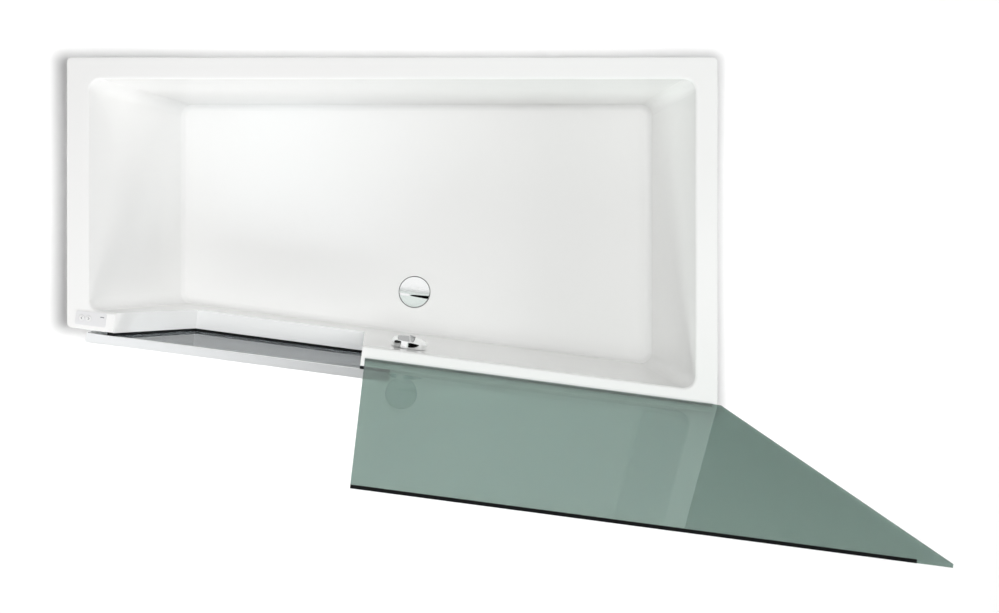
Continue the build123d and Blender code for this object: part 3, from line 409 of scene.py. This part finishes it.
def turned_stainless(name, colour):
    """Stainless steel, turned and ground: bright grey with faint streaks"""
    material, tree, output, place = new_material(name)
    streaks = add_node(tree, "ShaderNodeTexNoise", {"Scale": 350.0, "Detail": 2.0}, {"Vector": place})
    gloss = add_node(
        tree, "ShaderNodeMapRange", {"To Min": 0.2, "To Max": 0.36}, {"Value": streaks.outputs["Fac"]}
    )
    shader = add_node(
        tree,
        "ShaderNodeBsdfPrincipled",
        {"Base Color": linear(colour), "Metallic": 1.0},
        {"Roughness": gloss.outputs["Result"]},
    )
    tree.links.new(shader.outputs[0], output.inputs["Surface"])
    return material


def galvanised_steel(name, light, dark):
    """Hot-dip galvanised steel tube: patches of zinc crystal about 12 mm wide, each a little lighter or
    darker than the next"""
    material, tree, output, place = new_material(name)
    crystal = add_node(tree, "ShaderNodeTexVoronoi", {"Scale": 85.0}, {"Vector": place})
    shade = add_node(tree, "ShaderNodeSeparateColor", {}, {"Color": crystal.outputs["Color"]})
    tint = add_node(
        tree,
        "ShaderNodeMix",
        {"data_type": "RGBA", 6: linear(light), 7: linear(dark)},
        {0: shade.outputs["Red"]},
    )
    gloss = add_node(
        tree, "ShaderNodeMapRange", {"To Min": 0.34, "To Max": 0.55}, {"Value": shade.outputs["Green"]}
    )
    shader = add_node(
        tree,
        "ShaderNodeBsdfPrincipled",
        {"Metallic": 1.0},
        {"Base Color": tint.outputs[2], "Roughness": gloss.outputs["Result"]},
    )
    tree.links.new(shader.outputs[0], output.inputs["Surface"])
    return material


def grained_plastic(name, colour, low, high, shine=0.5, grain=900.0, depth=0.0001):
    """Injection-moulded plastic: even colour under a fine spark-eroded grain that breaks up its shine"""
    material, tree, output, place = new_material(name)
    pits = add_node(tree, "ShaderNodeTexNoise", {"Scale": grain, "Detail": 2.0}, {"Vector": place})
    gloss = add_node(
        tree, "ShaderNodeMapRange", {"To Min": low, "To Max": high}, {"Value": pits.outputs["Fac"]}
    )
    bump = add_node(
        tree, "ShaderNodeBump", {"Strength": 0.2, "Distance": depth}, {"Height": pits.outputs["Fac"]}
    )
    shader = add_node(
        tree,
        "ShaderNodeBsdfPrincipled",
        {"Base Color": linear(colour), "IOR": 1.5, "Specular IOR Level": shine},
        {"Roughness": gloss.outputs["Result"], "Normal": bump.outputs["Normal"]},
    )
    tree.links.new(shader.outputs[0], output.inputs["Surface"])
    return material


def laminated_board(name, face, core):
    """Wood-chip board with a melamine face: flat pale skin flecked by the chips pressing through"""
    material, tree, output, place = new_material(name)
    chips = add_node(tree, "ShaderNodeTexVoronoi", {"Scale": 260.0}, {"Vector": place})
    shade = add_node(tree, "ShaderNodeSeparateColor", {}, {"Color": chips.outputs["Color"]})
    fleck = add_node(
        tree, "ShaderNodeMapRange", {"To Min": 0.0, "To Max": 0.35}, {"Value": shade.outputs["Red"]}
    )
    tint = add_node(
        tree,
        "ShaderNodeMix",
        {"data_type": "RGBA", 6: linear(face), 7: linear(core)},
        {0: fleck.outputs["Result"]},
    )
    shader = add_node(
        tree, "ShaderNodeBsdfPrincipled", {"Roughness": 0.55}, {"Base Color": tint.outputs[2]}
    )
    tree.links.new(shader.outputs[0], output.inputs["Surface"])
    return material


def float_glass(name, colour, face_colour, shadow, clear):
    """Toughened float glass: pale where it is looked through squarely, deeper in the tint that iron gives
    it at its edges and where the look runs along the pane. A share of clear keeps the mirror image faint.
    Light, and what a mirror shows behind it, passes with the weak tint of the shadow colour"""
    material, tree, output, place = new_material(name)
    wave = add_node(tree, "ShaderNodeTexNoise", {"Scale": 3.0, "Detail": 0.0}, {"Vector": place})
    bump = add_node(
        tree, "ShaderNodeBump", {"Strength": 0.05, "Distance": 0.0005}, {"Height": wave.outputs["Fac"]}
    )
    facing = add_node(tree, "ShaderNodeLayerWeight", {"Blend": 0.5})
    slant = add_node(
        tree,
        "ShaderNodeMapRange",
        {"From Min": 0.3, "From Max": 0.85},
        {"Value": facing.outputs["Facing"]},
    )
    across = (TUB["slant_sin"], TUB["slant_cos"], 0.0)
    side = add_node(
        tree,
        "ShaderNodeVectorMath",
        {"operation": "DOT_PRODUCT", 1: across},
        {0: place.node.outputs["Normal"]},
    )
    edge = add_node(
        tree,
        "ShaderNodeMath",
        {"operation": "COMPARE", 1: 0.0, 2: 0.5},
        {0: side.outputs["Value"]},
    )
    deep = add_node(
        tree, "ShaderNodeMath", {"operation": "MAXIMUM"}, {0: slant.outputs["Result"], 1: edge.outputs[0]}
    )
    tint = add_node(
        tree,
        "ShaderNodeMix",
        {"data_type": "RGBA", 6: linear(face_colour), 7: linear(colour)},
        {0: deep.outputs[0]},
    )
    glass = add_node(
        tree,
        "ShaderNodeBsdfPrincipled",
        {"Roughness": 0.0, "IOR": 1.52, "Transmission Weight": 1.0},
        {"Base Color": tint.outputs[2], "Normal": bump.outputs["Normal"]},
    )
    ray = add_node(tree, "ShaderNodeLightPath")
    dim = add_node(
        tree,
        "ShaderNodeMath",
        {"operation": "MAXIMUM"},
        {0: ray.outputs["Is Shadow Ray"], 1: ray.outputs["Is Diffuse Ray"]},
    )
    through = add_node(
        tree,
        "ShaderNodeMath",
        {"operation": "MAXIMUM"},
        {0: dim.outputs[0], 1: ray.outputs["Is Glossy Ray"]},
    )
    body = add_node(
        tree,
        "ShaderNodeMix",
        {"data_type": "RGBA", 7: linear(shadow)},
        {0: through.outputs[0], 6: tint.outputs[2]},
    )
    sheer = add_node(tree, "ShaderNodeBsdfTransparent", {}, {"Color": body.outputs[2]})
    share = add_node(tree, "ShaderNodeMath", {"operation": "MAXIMUM", 1: clear}, {0: through.outputs[0]})
    mix = add_node(
        tree,
        "ShaderNodeMixShader",
        {},
        {0: share.outputs[0], 1: glass.outputs[0], 2: sheer.outputs[0]},
    )
    tree.links.new(mix.outputs[0], output.inputs["Surface"])
    return material


# Settings


class ShowerBathSettings(bpy.types.PropertyGroup):
    """Sizes and colours that a user would change"""

    acrylic_colour: bpy.props.StringProperty(
        name="Acrylic", description="Colour of the tub, sRGB hex", default="#f9f9f8"
    )
    aluminium_colour: bpy.props.StringProperty(
        name="Aluminium", description="Colour of the door's profiles, sRGB hex", default="#f7f9fa"
    )
    chrome_colour: bpy.props.StringProperty(
        name="Chrome", description="Colour of the chromed pieces, sRGB hex", default="#f6f7f7"
    )
    screen_colour: bpy.props.StringProperty(
        name="Screen glass", description="Tint of the glass screen, sRGB hex", default="#a2b3ad"
    )
    pane_colour: bpy.props.StringProperty(
        name="Door glass", description="Tint of the door's panes, sRGB hex", default="#6f7375"
    )
    fold_height: bpy.props.FloatProperty(
        name="Fold",
        description="Height of the fold across the waste cover",
        default=0.7 * MM,
        unit="LENGTH",
    )
    arrow_width: bpy.props.FloatProperty(
        name="Arrow", description="Width of the line of the arrows", default=1.1 * MM, unit="LENGTH"
    )
    key_strength: bpy.props.FloatProperty(
        name="Floor lamp", description="Light of the lamp that throws the floor's shadow", default=3.1
    )


# The camera hangs level over the tub, and its shift moves the picture without turning it
CAMERA = {"place": (-0.0203, 0.1521, 4.055), "sensor": 36.0, "lens": 48.1, "shift": (0.1136, -0.1301)}
FLOOR_REACH = 30.0
FLOOR_GAP = 0.0005

# Soft lamps: name, place, width, height, and the light each gives at its aim as a share of plain white
AIM = (0.0, 0.1, 0.3)
LAMPS = (
    ("top_lamp", (0.0, 0.1, 5.0), 3.0, 2.0, 0.495),
    ("front_low_lamp", (-0.6, -3.4, 1.9), 3.0, 1.0, 0.55),
    ("back_low_lamp", (0.3, 3.4, 1.9), 3.0, 1.0, 0.05),
    ("left_low_lamp", (-3.4, 0.1, 1.9), 1.0, 3.0, 0.125),
    ("right_low_lamp", (3.4, 0.1, 1.9), 1.0, 3.0, 0.26),
    ("right_lamp", (3.6, 0.1, 3.2), 1.5, 3.0, 0.066),
)
WORLD_STRENGTH = 0.1

# The lamp over the tub that throws the floor's shadow, its radius, the even light that fills that shadow,
# and the nodes that cast none, as in the photograph
SHADOW_LAMP = (0.057, 0.132, 3.58)
SHADOW_LAMP_RADIUS = 0.165
FLOOR_FILL = 1.0
SHADOWLESS_NODES = (
    "door_inner_glass",
    "door_outer_glass",
    "door_top_rail",
    "door_bottom_rail",
    "door_lock_stile",
    "door_hinge_stile",
    "door_striker",
    "hinge_door_leaves",
    "hinge_door_screws",
    "screen_glass",
    "screen_edge_trim",
)

# Glowing cards that only mirrors and glass see, painted reflections that light nothing: name, tone, and
# lowest and highest corner. The dark ceiling cards leave a white slot between them, the floor one paints a
# dark reflection into the screen glass beside the tub, and the upright one beside the overflow handle
# paints the dark band along its edge
REFLECTION_CARDS = (
    ("ceiling_card_front", "#060606", (-0.7, -3.0, 4.6), (8.0, -0.7, 4.6)),
    ("ceiling_card_back", "#060606", (-0.7, -0.1, 4.6), (8.0, 0.35, 4.6)),
    ("ceiling_card_rear", "#bcbcbc", (-0.7, 0.35, 4.6), (8.0, 3.0, 4.6)),
    ("floor_card", "#606060", (0.87, -0.8, 0.02), (2.5, 0.6, 0.02)),
    ("handle_card", "#2c2c2c", (-0.14, -0.3, 0.43), (-0.14, -0.2, 0.62)),
)


def settings():
    """The settings of this scene"""
    return bpy.context.scene.shower_bath


# Operators


class SHOWERBATH_OT_stage(bpy.types.Operator):
    """Camera straight above the tub, a plain pale floor and soft lamps"""

    bl_idname = "showerbath.stage"
    bl_label = "Stage"

    def execute(self, context):
        scene = context.scene
        scene.view_settings.view_transform = "Standard"
        camera_data = bpy.data.cameras.new("camera")
        camera = bpy.data.objects.new("camera", camera_data)
        scene.collection.objects.link(camera)
        camera.location = CAMERA["place"]
        camera_data.sensor_width = CAMERA["sensor"]
        camera_data.lens = CAMERA["lens"]
        camera_data.shift_x, camera_data.shift_y = CAMERA["shift"]
        scene.camera = camera

        low, _ = CAD_BOX
        corners = FLOOR_REACH * np.array([(-1, -1), (1, -1), (1, 1), (-1, 1)])
        points = np.column_stack([corners, np.full(4, low.z - FLOOR_GAP)])
        floor = put_mesh("floor", points, [np.array([[0, 1, 2, 3]])])
        dress(floor, self.floor_material())
        self.lamps(scene, floor)
        self.cards()
        self.world(scene)
        return {"FINISHED"}

    def floor_material(self):
        """Studio floor in matt white paint: even and pale, so that it keeps the object's soft shadow"""
        material, tree, output, place = new_material("painted_floor")
        grit = add_node(tree, "ShaderNodeTexNoise", {"Scale": 40.0, "Detail": 2.0}, {"Vector": place})
        gloss = add_node(
            tree, "ShaderNodeMapRange", {"To Min": 0.6, "To Max": 0.7}, {"Value": grit.outputs["Fac"]}
        )
        paint_coat = add_node(
            tree,
            "ShaderNodeBsdfPrincipled",
            {"Base Color": linear("#e6e6e6"), "Specular IOR Level": 0.0},
            {"Roughness": gloss.outputs["Result"]},
        )
        tree.links.new(paint_coat.outputs[0], output.inputs["Surface"])
        return material

    def seen_ray(self, tree, share):
        """A share for rays from the camera, a mirror or glass, and 0 for the rest"""
        ray = add_node(tree, "ShaderNodeLightPath")
        first = add_node(
            tree,
            "ShaderNodeMath",
            {"operation": "MAXIMUM"},
            {0: ray.outputs["Is Camera Ray"], 1: ray.outputs["Is Glossy Ray"]},
        )
        second = add_node(
            tree,
            "ShaderNodeMath",
            {"operation": "MAXIMUM"},
            {0: first.outputs[0], 1: ray.outputs["Is Transmission Ray"]},
        )
        return add_node(tree, "ShaderNodeMath", {"operation": "MULTIPLY", 1: share}, {0: second.outputs[0]})

    def lamps(self, scene, floor):
        """A lamp for the floor's shadow and an even one to fill it, and broad soft ones round the tub that
        spare the floor"""
        only_floor = bpy.data.collections.new("only_floor")
        only_floor.objects.link(floor)
        casting = bpy.data.collections.new("shadow_casters")
        for name, node in NODES.items():
            if name not in SHADOWLESS_NODES:
                casting.objects.link(node)
        bulb = bpy.data.lights.new("shadow_lamp", "POINT")
        bulb.shadow_soft_size = SHADOW_LAMP_RADIUS
        bulb.energy = settings().key_strength * 4 * pi
        bulb.use_nodes = True
        even = add_node(bulb.node_tree, "ShaderNodeLightFalloff", {"Strength": 1.0})
        emission = bulb.node_tree.nodes["Emission"]
        bulb.node_tree.links.new(even.outputs["Constant"], emission.inputs["Strength"])
        holder = bpy.data.objects.new("shadow_lamp", bulb)
        scene.collection.objects.link(holder)
        holder.location = SHADOW_LAMP
        holder.light_linking.receiver_collection = only_floor
        holder.light_linking.blocker_collection = casting
        fill = bpy.data.lights.new("floor_fill", "SUN")
        fill.energy = FLOOR_FILL
        fill.use_shadow = False
        filler = bpy.data.objects.new("floor_fill", fill)
        scene.collection.objects.link(filler)
        filler.light_linking.receiver_collection = only_floor

        spared = bpy.data.collections.new("all_but_floor")
        spared.objects.link(floor)
        spared.collection_objects[0].light_linking.link_state = "EXCLUDE"
        for name, place, width, height, strength in LAMPS:
            area = bpy.data.lights.new(name, "AREA")
            area.shape = "RECTANGLE"
            area.size = width
            area.size_y = height
            lamp = bpy.data.objects.new(name, area)
            scene.collection.objects.link(lamp)
            lamp.location = place
            way = Vector(AIM) - lamp.location
            area.energy = strength * pi**2 * way.length_squared
            lamp.rotation_euler = way.to_track_quat("-Z", "Y").to_euler()
            lamp.visible_camera = False
            lamp.visible_glossy = False
            lamp.light_linking.receiver_collection = spared

    def cards(self):
        """Glowing cards for mirrors and glass alone, painted reflections: they give chrome its dark bands
        and light nothing
        """
        for name, tone, (left, front, low), (right, back, high) in REFLECTION_CARDS:
            middle = low if right > left else high
            points = [(left, front, low), (right, front, middle), (right, back, high), (left, back, low)]
            card = put_mesh(name, points, [np.array([[0, 1, 2, 3]])])
            material, tree, output, _ = new_material(name + "_board")
            # The card glows in its tone, a painted reflection that only mirrors and glass see
            glow = add_node(tree, "ShaderNodeEmission", {"Color": linear(tone)})
            tree.links.new(glow.outputs[0], output.inputs["Surface"])
            dress(card, material)
            card.visible_camera = False
            card.visible_diffuse = False
            card.visible_transmission = False
            card.visible_shadow = False

    def world(self, scene):
        """Even studio light, white where the camera, a mirror or glass sees it"""
        world = bpy.data.worlds.new("studio")
        scene.world = world
        world.use_nodes = True
        tree = world.node_tree
        tree.nodes.clear()
        output = tree.nodes.new("ShaderNodeOutputWorld")
        seen = self.seen_ray(tree, 1.0 - WORLD_STRENGTH)
        strength = add_node(
            tree, "ShaderNodeMath", {"operation": "ADD", 1: WORLD_STRENGTH}, {0: seen.outputs[0]}
        )
        sky = add_node(
            tree, "ShaderNodeBackground", {"Color": (1.0, 1.0, 1.0, 1.0)}, {"Strength": strength.outputs[0]}
        )
        tree.links.new(sky.outputs[0], output.inputs["Surface"])


class SHOWERBATH_OT_tub(bpy.types.Operator):
    """Acrylic tub with its aprons"""

    bl_idname = "showerbath.tub"
    bl_label = "Tub"

    def execute(self, context):
        acrylic = moulded_acrylic("moulded_acrylic", settings().acrylic_colour)
        paint(acrylic, "tub_shell")
        panel = moulded_acrylic("apron_acrylic", settings().acrylic_colour)
        paint(panel, "front_apron", "sill_apron", "left_apron")
        return {"FINISHED"}


class SHOWERBATH_OT_frame(bpy.types.Operator):
    """Base board, steel frame and levelling feet under the tub"""

    bl_idname = "showerbath.frame"
    bl_label = "Frame and feet"

    def execute(self, context):
        zinc = galvanised_steel("galvanised_steel", "#c9cccd", "#a3a8ab")
        paint(
            zinc,
            "back_rail",
            "front_rail",
            "cross_rail_left",
            "cross_rail_doorway",
            "cross_rail_middle",
            "cross_rail_right",
            "post_back_left",
            "post_back_right",
            "post_front_left",
            "post_hinge",
            "post_front_right",
            "top_rail_back",
            "top_rail_front",
            "foot_studs",
            "foot_nuts",
            "apron_clips",
        )
        paint(laminated_board("melamine_board", "#e4dfd3", "#b59f7c"), "base_board")
        paint(grained_plastic("foot_polypropylene", "#26282a", 0.45, 0.6), "foot_pads")
        return {"FINISHED"}


class SHOWERBATH_OT_door(bpy.types.Operator):
    """Door leaf: panes, profiles, seal and hinges"""

    bl_idname = "showerbath.door"
    bl_label = "Door"

    def execute(self, context):
        satin = satin_aluminium("anodised_aluminium", settings().aluminium_colour, 0.85)
        paint(satin, "door_top_rail", "door_bottom_rail", "door_lock_stile", "door_hinge_stile")
        pane = float_glass("toughened_door_glass", settings().pane_colour, "#b9bdbf", "#eceeef", 0.36)
        paint(pane, "door_inner_glass", "door_outer_glass")
        rubber = grained_plastic("door_seal_epdm", "#101112", 0.6, 0.7, shine=0.2)
        paint(rubber, "door_seal")
        steel = turned_stainless("hinge_stainless", "#c4c6c8")
        paint(
            steel,
            "hinge_frame_leaves",
            "hinge_door_leaves",
            "hinge_door_screws",
            "hinge_pins",
            "hinge_frame_screws",
            "door_striker",
            "lock_bolt",
        )
        paint(grained_plastic("lock_case_nylon", "#232527", 0.4, 0.55), "lock_case")
        return {"FINISHED"}


class SHOWERBATH_OT_pad(bpy.types.Operator):
    """Control pad on the rim with its two buttons and lamp"""

    bl_idname = "showerbath.pad"
    bl_label = "Control pad"

    def execute(self, context):
        paint(grained_plastic("pad_abs", "#e9e9ea", 0.35, 0.45), "control_pad")
        paint(grained_plastic("button_abs", "#f3f3f3", 0.25, 0.35), "button_left", "button_right")
        lens = grained_plastic("lamp_polycarbonate", "#8f9396", 0.1, 0.2)
        self.lamp_lens(lens)
        ink = grained_plastic("printed_ink", "#3a3d40", 0.4, 0.5)
        for side, body, along in zip((-1, 1), ("left_button", "right_button"), PAD["buttons"]):
            self.arrow(side, body, along, ink)
        paint(grained_plastic("circuit_board_resin", "#1f5a3a", 0.3, 0.4), "keypad_board")
        paint(grained_plastic("lead_pvc", "#2b2d2f", 0.4, 0.5), "pad_lead")
        return {"FINISHED"}

    def arrow(self, side, body, along, ink):
        """Arrow on a button's cap: a flat band carried along two straight strokes that meet in a point"""
        reach, rise = PAD["arrow_reach"] * side, PAD["arrow_rise"]
        path = np.array([(-reach, rise), (reach, 0.0), (-reach, -rise)])
        path = softened(path, PAD["arrow_bend"], steps=5)
        points = along_front(along + path[:, 0], PAD["v"] + path[:, 1], PAD["button_top"])
        way = np.gradient(points, axis=0)
        way /= np.linalg.norm(way, axis=1, keepdims=True)
        ups = np.tile([0.0, 0.0, 1.0], (len(points), 1))
        sides = np.cross(way, ups)
        half = settings().arrow_width / MM / 2
        foot, top = -PAD["arrow_sunk"], PAD["arrow_proud"]
        band = [(-half, foot), (half, foot), (half, top), (-half, top)]
        band = softened(band, PAD["arrow_round"], steps=3, closed=True)
        piece = carried("arrow_left" if side < 0 else "arrow_right", points, sides, ups, band)
        finish_piece(piece, body, ink, "lamp")

    def lamp_lens(self, lens):
        """Lamp beside the buttons: a small bar of clear plastic with rounded ends and edges"""
        low, high = (corner.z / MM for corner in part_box("indicator_lamp"))
        corners = np.array([(-1, -1), (1, -1), (1, 1), (-1, 1)]) * PAD["lamp_half"] + PAD["lamp"]
        outline = softened(corners, PAD["lamp_round"], closed=True)
        piece = plate("lamp_lens", outline, low, high, PAD["lamp_arris"], along_front)
        finish_piece(piece, "tub", lens, "lamp", "indicator_lamp")


class SHOWERBATH_OT_screen(bpy.types.Operator):
    """Glass screen with its foot and its dark top edge"""

    bl_idname = "showerbath.screen"
    bl_label = "Screen"

    def execute(self, context):
        glass = float_glass("toughened_screen_glass", settings().screen_colour, "#dbe7e1", "#f4f8f6", 0.85)
        paint(glass, "screen_glass")
        trim = grained_plastic("trim_black_nylon", "#0c0d0e", 0.5, 0.6, shine=0.15)
        paint(trim, "screen_edge_trim")
        channel = satin_aluminium("milky_anodised_aluminium", settings().aluminium_colour, 0.5)
        paint(channel, "screen_channel")
        silicone = grained_plastic("clear_silicone", "#c3c8c6", 0.3, 0.4)
        paint(silicone, "screen_gasket")
        return {"FINISHED"}


class SHOWERBATH_OT_waste(bpy.types.Operator):
    """Waste and overflow: chromed cover and handle, plastic bodies and pipes"""

    bl_idname = "showerbath.waste"
    bl_label = "Waste and overflow"

    def execute(self, context):
        chrome = mirror_chrome("chrome_plate", settings().chrome_colour)
        paint(chrome, "overflow_ring")
        self.cover(chrome)
        self.knob(chrome)
        paint(turned_stainless("waste_stainless", "#c9cbcc"), "waste_flange", "plug_stem")
        paint(
            grained_plastic("waste_polypropylene", "#d8dadb", 0.4, 0.5),
            "waste_body",
            "outlet_pipe",
            "overflow_housing",
            "overflow_pipe",
        )
        rubber = grained_plastic("gasket_rubber", "#1d1e1f", 0.55, 0.7, shine=0.3)
        paint(rubber, "waste_gasket", "overflow_seal")
        self.lip(rubber)
        paint(grained_plastic("cable_pvc", "#2d2f31", 0.4, 0.5), "pull_cable")
        return {"FINISHED"}

    def cover(self, chrome):
        """Waste cover: two leaves of a disc, twisted against each other along a crease. The ramp between
        them widens with its distance from the turning point, and rises on one side of it and falls on the
        other"""
        radius, crease, turn = WASTE["radius"], WASTE["crease"], WASTE["turn"]
        fold = settings().fold_height / MM
        low, high = (corner.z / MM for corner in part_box("waste_cover"))
        chord = np.sqrt(radius**2 - crease**2)

        def ramp_half(p):
            return WASTE["spread"] * np.abs(p - turn) + WASTE["least_half"]

        def rows(s):
            half = ramp_half(s * chord)
            grow = 1 - np.cos(np.linspace(FIRST_ROW, 1, WASTE["rows"]) * pi / 2)[:, None]
            near = -radius + (crease - half + radius) * grow
            far = radius - (radius - crease - half) * grow[::-1]
            return np.concatenate([near, far])

        def height(p, q):
            lift = fold / 2 * (p - turn) / (radius - turn)
            return high - fold / 2 + lift * np.clip((q - crease) / ramp_half(p), -1, 1)

        def place(p, q, z):
            return along_front(WASTE["u"] + p, WASTE["v"] + q, z)

        piece = uneven_disc("waste_cover_plate", radius, rows, low, height, WASTE["arris"], place)
        finish_piece(piece, "waste_plug", chrome, "chrome", "waste_cover")

    def lip(self, rubber):
        """Seal under the cover: a flat band of rubber carried round a circle, its thin lip reaching out to
        the wall of the seat. There it shows as a dark line round the cover, a real seal that also serves as
        painted shade for the gap between cover and seat"""
        low, high = (corner.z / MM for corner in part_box("plug_seal"))
        angle = np.arange(120) / 120 * 2 * pi
        sides = np.stack([np.cos(angle), np.sin(angle), 0 * angle], axis=1)
        inner = WASTE["lip_inner"]
        path = along_front(WASTE["u"], WASTE["v"], 0.0) + sides * inner * MM
        ups = np.tile([0.0, 0.0, 1.0], (len(angle), 1))
        # The lip reaches past the cover's rim into the gap, so its dark rubber paints the gap's shade
        reach = WASTE["radius"] + WASTE["lip_reach"] - inner
        under = high - WASTE["lip_thickness"]
        band = [(0, low), (WASTE["lip_foot"], low), (reach, under), (reach, high), (0, high)]
        band = softened(band, WASTE["lip_round"], steps=4, closed=True)
        piece = carried("plug_lip", path, sides, ups, band, around=True)
        finish_piece(piece, "waste_plug", rubber, "gasket_rubber", "plug_seal")

    def knob(self, chrome):
        """Overflow handle: a thick disc whose face is parted by an upright crease. The left half leans back
        towards its top and its rim, the right half falls away from the crease, so a step opens below"""
        radius = KNOB["radius"]

        def rows(s):
            grow = radius * np.cos(np.linspace(FIRST_ROW, 1, KNOB["rows"]) * pi / 2)[:, None]
            grow[-1] = KNOB["crease_half"]
            return np.concatenate([-grow, grow[::-1]]) + 0 * s

        def height(p, q):
            bend = KNOB["left_bend"] * np.clip(-q - KNOB["left_bend_from"], 0, None) ** 2
            left = KNOB["left_height"] - KNOB["left_lean"] * p - bend
            right = KNOB["right_height"] - KNOB["right_lean"] * p - KNOB["right_fall"] * q
            return np.where(q < 0, left, right)

        def place(p, q, z):
            return along_front(KNOB["u"] + q, KNOB["wall"] + z, KNOB["z"] + p)

        gap, arris = KNOB["gap"], KNOB["arris"]
        piece = uneven_disc("overflow_handle_disc", radius, rows, gap, height, arris, place)
        finish_piece(piece, "overflow_handle", chrome, "chrome", "overflow_knob")
        back, front, thick = KNOB["spindle_back"], gap + KNOB["spindle_overlap"], KNOB["spindle"]
        profile = [(0, back), (thick, back), (thick, front), (0, front)]
        centre = along_front(KNOB["u"], KNOB["wall"], KNOB["z"])
        axis = (TUB["slant_sin"], TUB["slant_cos"], 0)
        spindle = turned("overflow_spindle", profile, centre, axis, steps=48)
        finish_piece(spindle, "overflow_handle", chrome, "chrome")


class SHOWERBATH_PT_panel(bpy.types.Panel):
    """Lists the pieces and the settings"""

    bl_idname = "SHOWERBATH_PT_panel"
    bl_label = "Shower bath"
    bl_space_type = "VIEW_3D"
    bl_region_type = "UI"
    bl_category = "Shower bath"

    def draw(self, context):
        for name in ShowerBathSettings.__annotations__:
            self.layout.prop(settings(), name)
        for operator in OPERATORS:
            self.layout.operator(operator.bl_idname)


OPERATORS = (
    SHOWERBATH_OT_stage,
    SHOWERBATH_OT_tub,
    SHOWERBATH_OT_frame,
    SHOWERBATH_OT_door,
    SHOWERBATH_OT_pad,
    SHOWERBATH_OT_screen,
    SHOWERBATH_OT_waste,
)
CLASSES = (ShowerBathSettings, *OPERATORS, SHOWERBATH_PT_panel)


def register():
    for cls in CLASSES:
        bpy.utils.register_class(cls)
    bpy.types.Scene.shower_bath = bpy.props.PointerProperty(type=ShowerBathSettings)


def unregister():
    del bpy.types.Scene.shower_bath
    for cls in reversed(CLASSES):
        bpy.utils.unregister_class(cls)


def main():
    """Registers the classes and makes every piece"""
    register()
    bpy.ops.showerbath.stage()
    bpy.ops.showerbath.tub()
    bpy.ops.showerbath.frame()
    bpy.ops.showerbath.door()
    bpy.ops.showerbath.pad()
    bpy.ops.showerbath.screen()
    bpy.ops.showerbath.waste()


if __name__ == "__main__":
    main()
